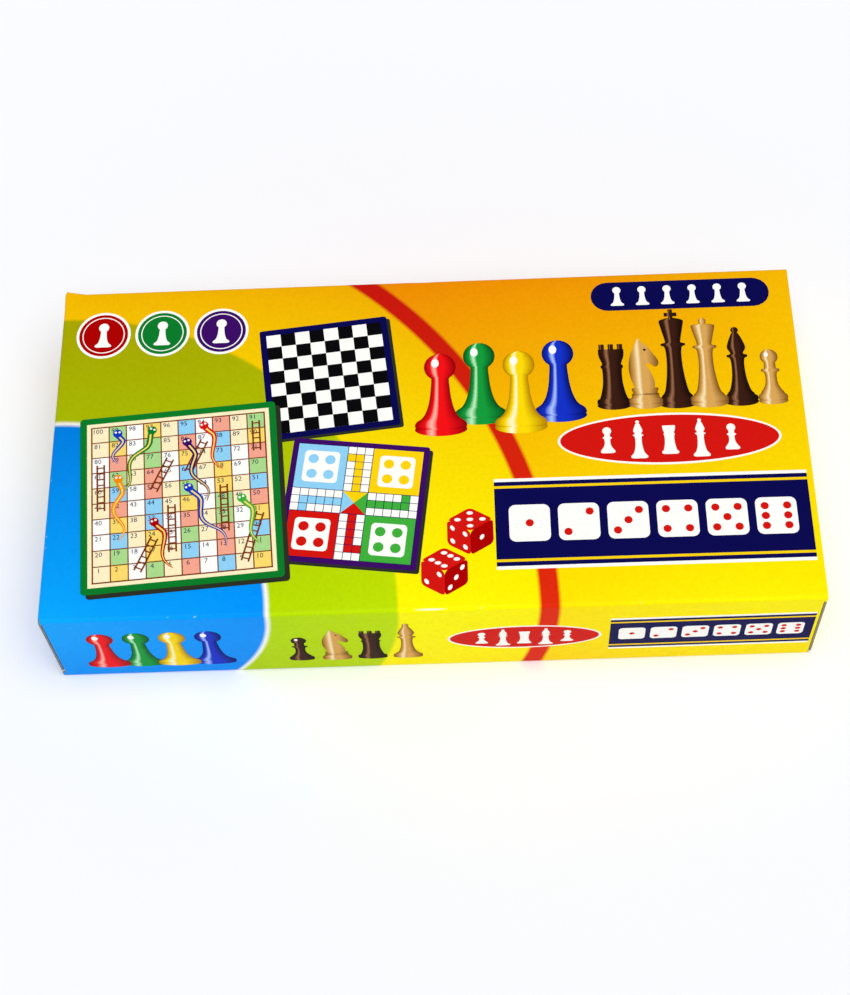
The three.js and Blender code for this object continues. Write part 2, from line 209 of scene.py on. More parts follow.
class CartonSizes(bpy.types.PropertyGroup):
    """Bends and bows of the carton sheet"""

    crease: size_property("Long crease", "Outer radius of the four long creases", 1.6)
    hinge: size_property("Flap crease", "Outer radius of the creases that the flaps turn on", 1.2)
    top_bow: size_property("Top bow", "How far the middle of the top stands out", 0.7)
    side_bow: size_property("Side bow", "How far the middle of the front and back stand out", 0.4)
    sprung_corner: size_property("Sprung corner", "How far the back left corner of the top has sprung up", 2)


class PrintInks(bpy.types.PropertyGroup):
    """Inks of the carton and board prints"""

    __annotations__ = colours_of(INKS, "Printing ink")


class PieceColours(bpy.types.PropertyGroup):
    """Plastics of the playing pieces"""

    __annotations__ = colours_of(PLASTICS, "Moulded plastic")


class StageSettings(bpy.types.PropertyGroup):
    """Floor, light and camera"""

    floor_colour: colour_property("Floor", "Colour of the floor", "#f8f9fb")
    key_strength: FloatProperty(
        name="Key light", description="Strength of the wide soft key light", default=2.7
    )
    key_width: FloatProperty(
        name="Key width", description="How wide the key light looks", default=1.0, subtype="ANGLE"
    )
    lens: FloatProperty(
        name="Lens", description="Focal length in millimetres", default=69.56, subtype="DISTANCE_CAMERA"
    )


# Nodes


def add_node(tree, kind, inputs=None, stops=(), **settings):
    """Adds a node, sets its settings and colour stops, and links or fills the inputs that are named."""
    made = tree.nodes.new(kind)
    for name, value in settings.items():
        setattr(made, name, value)
    for name, value in (inputs or {}).items():
        if isinstance(value, bpy.types.NodeSocket):
            tree.links.new(value, made.inputs[name])
        else:
            made.inputs[name].default_value = value
    if stops:
        elements = made.color_ramp.elements
        while len(elements) < len(stops):
            elements.new(1.0)
        for element, (position, colour) in zip(elements, stops):
            element.position = position
            element.color = colour
    return made


def start_material(name):
    """A new material and its empty tree."""
    material = bpy.data.materials.new(name)
    material.use_nodes = True
    material.node_tree.nodes.clear()
    return material, material.node_tree


def finish_surface(material, inputs):
    """Gives a material its shader, with the inputs that are named."""
    tree = material.node_tree
    shader = add_node(tree, "ShaderNodeBsdfPrincipled", inputs)
    add_node(tree, "ShaderNodeOutputMaterial", {"Surface": shader.outputs[0]})
    return material


def speckle(tree, width, detail):
    """Soft speckles that stay with the piece, each about that many metres wide."""
    place = add_node(tree, "ShaderNodeTexCoord").outputs["Object"]
    inputs = {"Vector": place, "Scale": 1 / width, "Detail": detail}
    return add_node(tree, "ShaderNodeTexNoise", inputs).outputs[0]


def two_tone(tree, width, detail, dark, light):
    """Speckles of two tones, each given as the share where it is pure and its colour."""
    inputs = {"Fac": speckle(tree, width, detail)}
    return add_node(tree, "ShaderNodeValToRGB", inputs, (dark, light)).outputs[0]


def patchy(tree, width, detail, least, most, start=0.3, end=0.7):
    """A value in patches of that width: least where a speckle is below start, most where it is above end."""
    inputs = {"Value": speckle(tree, width, detail), "From Min": start, "From Max": end}
    inputs.update({"To Min": least, "To Max": most})
    return add_node(tree, "ShaderNodeMapRange", inputs).outputs[0]


def uneven(tree, width, strength, depth, under=None):
    """A surface that rises and falls over that width, on top of another one where it is given."""
    inputs = {"Height": speckle(tree, width, SOFT), "Strength": strength, "Distance": depth}
    if under is not None:
        inputs["Normal"] = under
    return add_node(tree, "ShaderNodeBump", inputs).outputs[0]


# Materials

# Colour fields of the carton print: arcs about the front left corner of the top, each given as its reach
# in millimetres and its colours at the front and at the back
FIELDS = [
    (0, "#08a6fd", "#0670c8"),
    (92, "#0293fa", "#0268c0"),
    (92.4, "#fdfcf6", "#f1e4d0"),
    (94.4, "#fdfcf6", "#f1e4d0"),
    (94.8, "#b6dc03", "#989002"),
    (146, "#bee003", "#a29a02"),
    (146.4, "#fff704", "#f0b602"),
    (204, "#fff302", "#eeaa03"),
    (204.4, "#e02a0c", "#c4170c"),
    (212, "#e02a0c", "#c4170c"),
    (212.4, "#ffe402", "#ec8803"),
    (290, "#fff002", "#ee9603"),
    (350, "#ffec02", "#f3b403"),
    (420, "#ffe002", "#f3b403"),
]
# How much of its back colour a field has: more towards the back of the top and the foot of the front
DEEPENING = [
    (-HALF_WIDTH - HEIGHT, 0.2),
    (-HALF_WIDTH - HEIGHT / 3, 0.0),
    (-HALF_WIDTH, 0.0),
    (HALF_WIDTH, 1.0),
]
# The print is rubbed here and there in a narrow line along the creases of the top, in the same pale colour
# that paints the glint below
RUB_AND_GLINT_COLOUR = "#fbf8ee"
RUBBED_LINE = 0.5 * MM
RUB_START = 0.66
RUB_END = 0.74
RUB_MOST = 0.7
# A painted glint of light at the middle of the long creases, out to these distances
CREASE_GLINT_START = 2 * MM
CREASE_GLINT_END = 7 * MM
CREASE_GLINT_MOST = 0.9


def varnish(material, colour):
    """Gloss varnish over offset ink: a faint mottle, a soft uneven sheen and a slightly wavy sheet."""
    tree = material.node_tree
    inputs = {0: colour, "Scale": patchy(tree, MOTTLE, MIXED, 0.96, 1.03)}
    mottled = add_node(tree, "ShaderNodeVectorMath", inputs, operation="SCALE").outputs[0]
    wave = uneven(tree, SHEET_WAVE, 0.25, 0.3 * MM)
    return finish_surface(material, {
        "Base Color": mottled,
        "Roughness": patchy(tree, SHEET_WAVE, SOFT, 0.24, 0.36),
        "IOR": 1.46,
        "Specular IOR Level": 0.02,
        "Normal": uneven(tree, PAPER_TOOTH, 0.12, 0.05 * MM, wave),
    })


def ink_material(ink):
    """One printed colour, made once; a shaded ink runs from edge to edge of its picture."""
    name = f"varnished_offset_print_{ink}"
    if name in bpy.data.materials:
        return bpy.data.materials[name]
    material, tree = start_material(name)
    if ink not in SHADED_INKS:
        return varnish(material, tuple(getattr(bpy.context.scene.gameset_inks, ink))[:3])
    picture = add_node(tree, "ShaderNodeUVMap", uv_map="picture").outputs[0]
    side = add_node(tree, "ShaderNodeSeparateXYZ", {0: picture}).outputs[0]
    rim, body, light = (linear(code) for code in SHADED_INKS[ink])
    shades = [(0.0, rim), (0.2, body), (0.32, light), (0.42, body), (0.62, body), (1.0, rim)]
    return varnish(material, add_node(tree, "ShaderNodeValToRGB", {"Fac": side}, shades).outputs[0])


def printed_board():
    """Carton print: colour fields on the unrolled sheet, rubbed pale along the creases, with a painted glint
    at the middle of the long creases.
    """
    material, tree = start_material("varnished_offset_print_fields")
    sheet = add_node(tree, "ShaderNodeUVMap", uv_map="sheet").outputs[0]
    inputs = {0: sheet, 1: (-HALF_LENGTH, -HALF_WIDTH, 0)}
    away = add_node(tree, "ShaderNodeVectorMath", inputs, operation="DISTANCE").outputs["Value"]
    reaches, *sides = zip(*FIELDS)
    farthest = reaches[-1]
    share = add_node(tree, "ShaderNodeMath", {0: away, 1: farthest * MM}, operation="DIVIDE").outputs[0]
    arcs = []
    for codes in sides:
        stops = [(reach / farthest, linear(code)) for reach, code in zip(reaches, codes)]
        arcs.append(add_node(tree, "ShaderNodeValToRGB", {"Fac": share}, stops).outputs[0])

    places = add_node(tree, "ShaderNodeSeparateXYZ", {0: sheet}).outputs
    lowest, highest = DEEPENING[0][0], DEEPENING[-1][0]
    inputs = {"Value": places["Y"], "From Min": lowest, "From Max": highest}
    rise = add_node(tree, "ShaderNodeMapRange", inputs).outputs[0]
    depths = [((place - lowest) / (highest - lowest), (deep, deep, deep, 1.0)) for place, deep in DEEPENING]
    depth = add_node(tree, "ShaderNodeValToRGB", {"Fac": rise}, depths).outputs[0]
    inputs = {"Factor": depth, 6: arcs[0], 7: arcs[1]}
    fields = add_node(tree, "ShaderNodeMix", inputs, data_type="RGBA").outputs[2]

    along = add_node(tree, "ShaderNodeMath", {0: places["X"]}, operation="ABSOLUTE").outputs[0]
    across = add_node(tree, "ShaderNodeMath", {0: places["Y"]}, operation="ABSOLUTE").outputs[0]
    lines = []
    for place, crease in ((along, HALF_LENGTH), (across, HALF_WIDTH)):
        inputs = {0: place, 1: crease, 2: RUBBED_LINE}
        lines.append(add_node(tree, "ShaderNodeMath", inputs, operation="COMPARE").outputs[0])
    creased = add_node(tree, "ShaderNodeMath", {0: lines[0], 1: lines[1]}, operation="MAXIMUM").outputs[0]
    rubs = patchy(tree, RUB_MARK, BROKEN, 0.0, RUB_MOST, RUB_START, RUB_END)
    # Painted highlight: a pale glint of light at the middle of the long creases, fading out by the given
    # distance
    inputs = {"Value": along, "From Min": CREASE_GLINT_START, "From Max": CREASE_GLINT_END}
    inputs.update({"To Min": CREASE_GLINT_MOST, "To Max": 0.0})
    crease_glint = add_node(tree, "ShaderNodeMapRange", inputs).outputs[0]
    rubs_and_glint = add_node(tree, "ShaderNodeMath", {0: rubs, 1: crease_glint}, operation="MAXIMUM").outputs[0]
    rub_and_glint_mask = add_node(tree, "ShaderNodeMath", {0: creased, 1: rubs_and_glint}, operation="MULTIPLY").outputs[0]
    # Mixes the pale colour in where the creases are rubbed and where the glint is painted
    inputs = {"Factor": rub_and_glint_mask, 6: fields, 7: linear(RUB_AND_GLINT_COLOUR)}
    return varnish(material, add_node(tree, "ShaderNodeMix", inputs, data_type="RGBA").outputs[2])


def grey_board():
    """Duplex board's uncoated inside: warm grey pulp with darker flecks and a soft tooth."""
    material, tree = start_material("uncoated_duplex_board")
    dark, light = linear("#b7b1a4"), linear("#d3cec2")
    return finish_surface(material, {
        "Base Color": two_tone(tree, PULP_FLECK, FLECKED, (0.3, dark), (0.6, light)),
        "Roughness": 0.9,
        "Normal": uneven(tree, PAPER_TOOTH, 0.3, 0.1 * MM),
    })


def white_board():
    """Coated but unprinted duplex board: clean white with a faint cloud and a dull sheen."""
    material, tree = start_material("coated_white_board")
    dark, light = linear("#efece4"), linear("#f4f1ea")
    return finish_surface(material, {
        "Base Color": two_tone(tree, COATING_CLOUD, SOFT, (0.3, dark), (0.7, light)),
        "Roughness": patchy(tree, MOTTLE, SOFT, 0.42, 0.55),
    })


def cut_edge():
    """Die-cut edge of the board: the torn fibres of its grey core, painted darker than the core's own grey as
    the shade in the gaps at the carton's ends.
    """
    material, tree = start_material("die_cut_board_edge")
    # Painted shade: both tones sit below the grey core's own colour, to darken the edge like the shadowed gap
    # beside it
    dark, light = linear("#6d675b"), linear("#968f81")
    return finish_surface(material, {
        "Base Color": two_tone(tree, TORN_FIBRE, MIXED, (0.3, dark), (0.7, light)),
        "Roughness": 0.85,
    })


def moulded_plastic(name):
    """Injection-moulded polystyrene: glossy, with faint flow marks and fine scuffs from the other pieces."""
    material, tree = start_material(f"moulded_polystyrene_{name}")
    colour = getattr(bpy.context.scene.gameset_pieces, name)
    dark, light = tinted(colour, 0.86), tinted(colour, 1.06)
    return finish_surface(material, {
        "Base Color": two_tone(tree, FLOW_MARK, SOFT, (0.3, dark), (0.7, light)),
        "Roughness": patchy(tree, FINE_SCUFF, FLECKED, 0.2, 0.38, 0.4),
        "IOR": 1.59,
        "Normal": uneven(tree, FLOW_MARK, 0.08, 0.2 * MM),
    })


def pip_paint():
    """Black enamel wiped into the drilled pips of the dice: slightly patchy."""
    material, tree = start_material("wiped_black_enamel")
    dark, light = linear("#050505"), linear("#191716")
    return finish_surface(material, {
        "Base Color": two_tone(tree, ENAMEL_PATCH, SOFT, (0.35, dark), (0.7, light)),
        "Roughness": 0.4,
    })


def wrapped_board():
    """Greyboard leaf wrapped in litho paper: off-white with a faint tooth and handling marks."""
    material, tree = start_material("paper_wrapped_greyboard")
    dark, light = linear("#d8cdb4"), linear("#ece3cd")
    return finish_surface(material, {
        "Base Color": two_tone(tree, HANDLING_MARK, BROKEN, (0.3, dark), (0.65, light)),
        "Roughness": 0.6,
        "Normal": uneven(tree, PAPER_TOOTH, 0.2, 0.08 * MM),
    })


def book_cloth():
    """Woven binding tape: matt and dark, with two crossing sets of threads."""
    material, tree = start_material("woven_book_cloth")
    place = add_node(tree, "ShaderNodeTexCoord").outputs["Object"]
    inputs = {"Vector": place, "Scale": math.pi / (10 * CLOTH_THREAD), "Distortion": 0.4}
    warp = add_node(tree, "ShaderNodeTexWave", inputs, bands_direction="X").outputs["Fac"]
    weft = add_node(tree, "ShaderNodeTexWave", inputs, bands_direction="Y").outputs["Fac"]
    weave = add_node(tree, "ShaderNodeMath", {0: warp, 1: weft}, operation="MULTIPLY").outputs[0]
    tones = [(0.1, linear("#14161b")), (0.9, linear("#31353f"))]
    inputs = {"Height": weave, "Strength": 0.4, "Distance": 0.15 * MM}
    return finish_surface(material, {
        "Base Color": add_node(tree, "ShaderNodeValToRGB", {"Fac": weave}, tones).outputs[0],
        "Roughness": 0.8,
        "Normal": add_node(tree, "ShaderNodeBump", inputs).outputs[0],
    })


def background_paper(colour):
    """Seamless studio paper: matt, faintly clouded."""
    material, tree = start_material("seamless_background_paper")
    return finish_surface(material, {
        "Base Color": two_tone(tree, PAPER_CLOUD, SOFT, (0.3, tinted(colour, 0.99)), (0.7, colour)),
        "Roughness": 0.95,
        "Specular IOR Level": 0.1,
    })


# Meshes


def smooth_rounds(mesh):
    """Shades a mesh smooth between its sharp edges."""
    mesh.shade_smooth()
    mesh.set_sharp_from_angle(angle=SMOOTH_ANGLE)


def finish_mesh(name, bm, materials):
    """Turns a finished bmesh into an object."""
    mesh = bpy.data.meshes.new(name)
    bm.to_mesh(mesh)
    bm.free()
    for material in materials:
        mesh.materials.append(material)
    smooth_rounds(mesh)
    made = bpy.data.objects.new(name, mesh)
    bpy.context.scene.collection.objects.link(made)
    return made


def join(bm, other):
    """Adds another shape to a mesh."""
    scratch = bpy.data.meshes.new("shape")
    other.to_mesh(scratch)
    other.free()
    bm.from_mesh(scratch)
    bpy.data.meshes.remove(scratch)


def draw_chain(bm, points):
    """Joins points by edges, one after the other."""
    chain = [bm.verts.new(point) for point in points]
    for pair in zip(chain, chain[1:]):
        bm.edges.new(pair)
    return chain


def fill_outline(bm, points):
    """Fills a closed outline, the first shape of its mesh, with one flat face."""
    chain = draw_chain(bm, points)
    bm.edges.new((chain[-1], chain[0]))
    return bmesh.ops.contextual_create(bm, geom=bm.edges[:])["faces"]


def cut_across(bm, axis, places):
    """Cuts a mesh along planes square to one axis."""
    direction = Vector([float(i == axis) for i in range(3)])
    for place in places:
        geometry = bm.verts[:] + bm.edges[:] + bm.faces[:]
        bmesh.ops.bisect_plane(
            bm, geom=geometry, dist=CUT_TOLERANCE, plane_co=direction * place, plane_no=direction
        )


def steps_between(low, high, step):
    """Evenly spaced places inside a range, a step apart or a little less."""
    count = max(1, math.ceil((high - low) / step))
    return [low + (high - low) * i / count for i in range(1, count)]


def verts_of(made):
    """The vertices among what an operator made."""
    return [item for item in made["geom"] if isinstance(item, bmesh.types.BMVert)]


def raise_faces(bm, faces, move):
    """Extrudes faces and moves them."""
    raised = bmesh.ops.extrude_face_region(bm, geom=faces)
    bmesh.ops.translate(bm, vec=move, verts=verts_of(raised))


def round_off(bm, geometry, radius, steps, affect="EDGES", clamp=False):
    """Rounds edges, or the corners of a flat shape."""
    bmesh.ops.bevel(
        bm, geom=geometry, offset=radius, offset_type="OFFSET", segments=steps, profile=0.5, affect=affect,
        material=-1, clamp_overlap=clamp,
    )


def stand_for(piece, node):
    """Lets a rigid piece stand for a node of the frame and ride with the carton."""
    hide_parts(node)
    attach(piece, "carton")


# Carton


def thicken(bm):
    """Gives a folded sheet its thickness: print outside, grey inside, cut edges round it."""
    bm.normal_update()
    outside = set(bm.faces)
    made = bmesh.ops.solidify(bm, geom=bm.faces[:], thickness=SHEET)
    inside = {face for face in made["geom"] if isinstance(face, bmesh.types.BMFace)}
    for face in bm.faces:
        if face in inside:
            face.material_index = INSIDE
        elif face not in outside:
            face.material_index = EDGE


def bowed(point, sizes):
    """A point of the carton moved by the bow of its panel and by the sprung corner."""
    x, y, z = point
    along = max(0.0, 1 - (x / HALF_LENGTH) ** 2)
    across = max(0.0, 1 - (y / HALF_WIDTH) ** 2)
    level = (z - HEIGHT / 2) / (HEIGHT / 2)
    upright = max(0.0, 1 - level ** 2)
    moved = Vector(point)
    if level > 1 - RIM_SHARE:
        moved.z += sizes.top_bow * along * across
        gone = ((x + HALF_LENGTH) ** 2 + (y - HALF_WIDTH) ** 2) / SPRUNG_REACH ** 2
        sprung = sizes.sprung_corner * math.exp(-gone) * (level - 1 + RIM_SHARE) / RIM_SHARE
        moved += Vector((0, sprung / 2, sprung))
    if across < RIM_SHARE:
        moved.y += math.copysign(sizes.side_bow * along * upright * (1 - across / RIM_SHARE), y)
    return moved


def sheet_place(point, centre):
    """Where a point of the sleeve lies on the unrolled sheet."""
    drop = HEIGHT - point.z
    if centre.y > HALF_WIDTH - BACK_ZONE and centre.z > BACK_ZONE:
        return point.x, point.y + drop
    if point.z > HEIGHT / 2:
        return point.x, point.y - drop
    return point.x, -WIDTH - point.y - drop


def make_sleeve(sizes, materials):
    """One sheet folded round four long creases, with its glue flap inside the back panel."""
    bm = bmesh.new()
    glue_face = HALF_WIDTH - SHEET - GLUE_GAP
    corners = [
        (HALF_WIDTH, SEAM_LIFT),
        (HALF_WIDTH, HEIGHT),
        (-HALF_WIDTH, HEIGHT),
        (-HALF_WIDTH, 0),
        (glue_face, 0),
        (glue_face, GLUE_FLAP),
    ]
    chain = draw_chain(bm, [(-HALF_LENGTH, y, z) for y, z in corners])
    round_off(bm, chain[1:-1], sizes.crease, CREASE_STEPS, "VERTICES")
    made = bmesh.ops.extrude_edge_only(bm, edges=bm.edges[:])
    bmesh.ops.translate(bm, verts=verts_of(made), vec=(LENGTH, 0, 0))
    hinge_end = HALF_LENGTH - sizes.hinge
    side_end = RAW_END - sizes.hinge
    glue_end = HALF_LENGTH - GLUE_FLAP_TRIM
    trims = [-RAW_END, RAW_END, -hinge_end, hinge_end, -side_end, side_end, -glue_end, glue_end]
    flap_ends = [DUST_LOW.z, DUST_HIGH.z, HEIGHT - DUST_HIGH.z, HEIGHT - DUST_LOW.z]
    flat = HALF_WIDTH - sizes.crease
    cut_across(bm, 0, trims + steps_between(-glue_end, glue_end, PANEL_STEP))
    cut_across(bm, 1, steps_between(-flat, flat, PANEL_STEP))
    cut_across(bm, 2, flap_ends + steps_between(sizes.crease, HEIGHT - sizes.crease, PANEL_STEP))
    waste = []
    for face in bm.faces:
        x, y, z = face.calc_center_median()
        low, high = flap_ends[:2] if x < 0 else flap_ends[2:]
        by_tongue = z < low if x < 0 else z > high
        on_glue_flap = SHEET < HALF_WIDTH - y < 3 * SHEET and z < HEIGHT / 2
        if abs(y) < flat and z > HEIGHT - sizes.crease:
            kept = x > -hinge_end
        elif abs(y) < flat and z < sizes.crease:
            kept = x < hinge_end
        elif on_glue_flap:
            kept = abs(x) < glue_end
        elif low < z < high:
            kept = abs(x) < side_end
        else:
            kept = by_tongue or abs(x) < RAW_END
        if not kept:
            waste.append(face)
    bmesh.ops.delete(bm, geom=waste, context="FACES")
    bmesh.ops.recalc_face_normals(bm, faces=bm.faces[:])
    sheet = bm.loops.layers.uv.new("sheet")
    for face in bm.faces:
        centre = face.calc_center_median()
        for loop in face.loops:
            loop[sheet].uv = sheet_place(loop.vert.co, centre)
    for vert in bm.verts:
        vert.co = bowed(vert.co, sizes)
    thicken(bm)
    stand_for(finish_mesh("printed_sleeve", bm, materials), "carton_sleeve")


def fold(distance, radius):
    """How far a sheet that folds square round a crease has gone along and down at that distance on it."""
    bend = radius * math.pi / 2
    if distance < bend:
        return radius * math.sin(distance / radius), radius * (1 - math.cos(distance / radius))
    return radius, radius + distance - bend


def flap_mesh(outline, bend, place, print_place, bleed):
    """A flat cut flap, given as (distance from its crease, place along it), folded into place."""
    bm = bmesh.new()
    sheet = bm.loops.layers.uv.new("sheet")
    fill_outline(bm, [(out, along, 0) for out, along in outline])
    cut_across(bm, 0, steps_between(0, bend, bend / CREASE_STEPS) + [bend, bleed])
    low = min(along for out, along in outline)
    high = max(along for out, along in outline)
    cut_across(bm, 1, steps_between(low, high, PANEL_STEP))
    for face in bm.faces:
        if face.calc_center_median().x > bleed:
            face.material_index = BARE
        for loop in face.loops:
            loop[sheet].uv = print_place(loop.vert.co.x, loop.vert.co.y)
    for vert in bm.verts:
        vert.co = place(vert.co.x, vert.co.y)
    bmesh.ops.recalc_face_normals(bm, faces=bm.faces[:])
    return bm


def face_out(bm, direction):
    """Turns a folded flap so that its flat part faces the way given."""
    widest = max(bm.faces, key=lambda face: face.calc_area())
    widest.normal_update()
    if widest.normal.dot(direction) < 0:
        bmesh.ops.reverse_faces(bm, faces=bm.faces[:])


def turned_end(point, side):
    """The right end is the left one turned half round the carton's cross axis."""
    x, y, z = point
    return Vector((-x, y, HEIGHT - z)) if side == "right" else Vector(point)


def both_halves(half):
    """A whole outline from its half on one side of the middle."""
    return half + [(out, -along) for out, along in reversed(half)]


def end_flap(name, outline, bend, middle, place, facing, print_place, bleed, materials):
    """Makes one flap, printed as far as its bleed, folded into place round its crease."""
    bm = flap_mesh(outline, bend, place, print_place, bleed)
    face_out(bm, facing)
    thicken(bm)
    flap = finish_mesh(f"folded_{name}", bm, materials)
    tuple(place(0, middle))
    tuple(place(bend, middle))
    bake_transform(flap)
    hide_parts(name)


def make_end(side, sizes, materials):
    """One tuck end: a closure panel with its tongue, and two dust flaps behind it."""
    radius = sizes.hinge
    bend = radius * math.pi / 2
    drop = HEIGHT - radius - (TONGUE_LOW.z + radius) + bend
    outward = turned_end((-1, 0, HEIGHT), side) - turned_end((0, 0, HEIGHT), side)
    upward = turned_end((0, 0, HEIGHT), side) - turned_end((0, 0, 0), side)

    def closure_place(out, along):
        gone, down = fold(out, radius)
        return bowed(turned_end((radius - HALF_LENGTH - gone, along, HEIGHT - down), side), sizes)

    def closure_print(out, along):
        if side == "left":
            return -HALF_LENGTH - out, along
        return HALF_LENGTH + out, -WIDTH - HEIGHT - along

    wide = CLOSURE_HIGH.y
    root = HALF_WIDTH - sizes.crease
    half = [(0, root), (bend, root), (bend + wide - root, wide), (drop - CLOSURE_CORNER, wide)]
    half += [(drop, wide - CLOSURE_CORNER)]
    outline = both_halves(half)
    closure = f"{side}_closure_panel"
    end_flap(closure, outline, bend, 0, closure_place, outward, closure_print, HEIGHT, materials)

    def tongue_place(out, along):
        gone, down = fold(out, radius)
        return turned_end((down - HALF_LENGTH, along, TONGUE_LOW.z + radius - gone), side)

    def tongue_print(out, along):
        return closure_print(drop + out, along)

    reach = TONGUE_HIGH.x + HALF_LENGTH - radius + bend
    root = TONGUE_HIGH.y
    tip = root - TONGUE_TAPER
    inset = TONGUE_CORNER * (1 - math.sqrt(0.5))
    half = [(0, root), (bend, root), (reach - TONGUE_CORNER, tip)]
    half += [(reach - inset, tip - inset), (reach, tip - TONGUE_CORNER)]
    outline = both_halves(half)
    tongue = f"{side}_tuck_tongue"
    end_flap(tongue, outline, bend, 0, tongue_place, -upward, tongue_print, 0, materials)

    length = DUST_HIGH.y - DUST_LOW.y + bend - radius + SHEET
    fall = length * math.tan(DUST_SLOPE)
    outline = [(0, DUST_LOW.z), (length - DUST_TIP_CUT, DUST_LOW.z), (length, DUST_LOW.z + DUST_TIP_CUT)]
    outline += [(length, DUST_HIGH.z - fall), (bend, DUST_HIGH.z), (0, DUST_HIGH.z)]
    mid = HEIGHT / 2
    for name, hand in (("front", -1), ("back", 1)):
        def dust_place(out, along, hand=hand):
            gone, down = fold(out, radius)
            return turned_end((DUST_LOW.x + radius - gone, hand * (HALF_WIDTH - down), along), side)

        def dust_print(out, along, hand=hand):
            x, y, z = dust_place(0, along, hand)
            return math.copysign(abs(x) + out, x), hand * (HALF_WIDTH + HEIGHT - z)

        flap = f"{side}_{name}_dust_flap"
        end_flap(flap, outline, bend, mid, dust_place, outward, dust_print, PRINT_BLEED, materials)


# Profiles of the turned pieces, as (radius, height) in millimetres, the same as in the frame

TOKEN = {"height": 26, "base": 7.6, "foot": 2.4, "waist": 2.6, "head": 4.7}
MEN = {
    "king": {"height": 56, "base": 9.4, "stem": 3.8, "collar": 6.2, "collar_height": 34, "head": 6.2},
    "queen": {"height": 50, "base": 9.4, "stem": 3.6, "collar": 6, "collar_height": 32, "head": 6},
    "bishop": {"height": 44, "base": 8.4, "stem": 3.2, "collar": 5.2, "collar_height": 26, "head": 4.6},
    "knight": {"height": 40, "base": 8.4, "stem": 6, "collar": 6.6, "collar_height": 8, "head": 4},
    "rook": {"height": 36, "base": 8.4, "stem": 4.8, "collar": 5.6, "collar_height": 22, "head": 6.4},
    "pawn": {"height": 30, "base": 7.2, "stem": 2.8, "collar": 4.6, "collar_height": 17, "head": 4.4},
}
FOOT = 3.4
COLLAR = 1.4
FINIAL = 1.9
CROSS = 6.4
CROSS_BAR = 2.2
TURRET = 7
TURRET_WALL = 2
TURRET_RECESS = 3
KNIGHT_REACH = 8
KNIGHT_EYE = (1.2, 32)
# A horse's head and neck, side on, as shares of its reach and height: back of the neck, ear, brow, muzzle,
# jaw and chest
KNIGHT_SHARES = [
    (-0.6, 0), (-0.95, 0.3), (-0.85, 0.62), (-0.4, 0.86), (-0.22, 1), (-0.02, 0.88), (0.3, 0.83),
    (0.62, 0.68), (0.97, 0.54), (0.94, 0.44), (0.72, 0.4), (0.4, 0.5), (0.14, 0.46), (0.42, 0.32),
    (0.66, 0.12), (0.6, 0),
]


def rounded(points):
    """An outline with its corners cut twice, a quarter of the way along each side, until it is smooth."""
    for _ in range(2):
        smooth = [points[0]]
        for (ax, ay), (bx, by) in zip(points, points[1:]):
            for share in (0.25, 0.75):
                smooth.append(((1 - share) * ax + share * bx, (1 - share) * ay + share * by))
        points = smooth + [points[-1]]
    return points


def ball(radius, top, neck):
    """Points of a round head, from its neck to its top."""
    start = math.asin(neck / radius)
    turns = [start + (math.pi - start) * i / BALL_STEPS for i in range(BALL_STEPS + 1)]
    return [(radius * math.sin(turn), top - radius - radius * math.cos(turn)) for turn in turns]


def token_profile():
    """A ludo token: round foot, hollow cone and a ball."""
    base, foot, waist = TOKEN["base"], TOKEN["foot"], TOKEN["waist"]
    neck = TOKEN["height"] - 2 * TOKEN["head"]
    body = [(0, 0), (base, 0), (base, foot), (waist + 0.45 * (base - waist), 1.7 * foot)]
    body += [(waist + 0.12 * (base - waist), 0.55 * neck), (waist, neck - 0.6), (waist, neck)]
    return rounded(body)[:-1] + ball(TOKEN["head"], TOKEN["height"], waist)


def man_profile(rank):
    """A chessman's turned outline up to its top."""
    man = MEN[rank]
    base, stem, collar, level = man["base"], man["stem"], man["collar"], man["collar_height"]
    top, head = man["height"], man["head"]
    body = [(0, 0), (base, 0), (base, FOOT), (0.82 * base, FOOT + 0.5), (0.8 * base, FOOT + 1.4)]
    body += [(stem + (base - stem) / 3, 2 * FOOT), (stem, 0.6 * level), (stem, level - 0.5)]
    body += [(collar, level), (collar, level + COLLAR), (stem, level + COLLAR + 0.3)]
    if rank == "pawn":
        return rounded(body)[:-1] + ball(head, top, stem)
    if rank == "knight":
        return rounded(body + [(0, level + COLLAR + 0.4)])
    body += [(stem, level + 2 * COLLAR)]
    if rank == "rook":
        rim = top - TURRET_RECESS
        return rounded(body + [(head, top - TURRET), (head, rim)]) + [(head - TURRET_WALL, rim), (0, rim)]
    finial = ball(FINIAL, top, FINIAL / 2)
    if rank == "bishop":
        shoulder = level + COLLAR + head
        mitre = top - 2 * FINIAL
        body += [(head, shoulder - 1), (head, shoulder + 1), (0.6 * stem, mitre), (FINIAL / 2, mitre + 0.4)]
        return rounded(body)[:-1] + finial
    crown = top - (CROSS if rank == "king" else 2 * FINIAL)
    body += [(head, crown - COLLAR), (head, crown - 0.4)]
    if rank == "king":
        return rounded(body + [(stem, crown + COLLAR / 2), (0, crown + COLLAR)])
    return rounded(body + [(stem, crown), (FINIAL / 2, crown + 0.3)])[:-1] + finial


def knight_outline():
    """The horse's head and neck that stand on a knight's foot, side on."""
    low = MEN["knight"]["collar_height"] + COLLAR
    rise = MEN["knight"]["height"] - low
    return rounded([(reach * KNIGHT_REACH, low + height * rise) for reach, height in KNIGHT_SHARES])


# Drawing with ink

# A standing piece seen a little from above, and the glint on its head in shares of the head's radius
FOOT_TILT = 0.3
GLINT_PLACE = (-0.3, -0.7)
GLINT_SIZE = (0.24, 0.32)
# Share of a path over which its direction is measured
NUDGE = 0.001


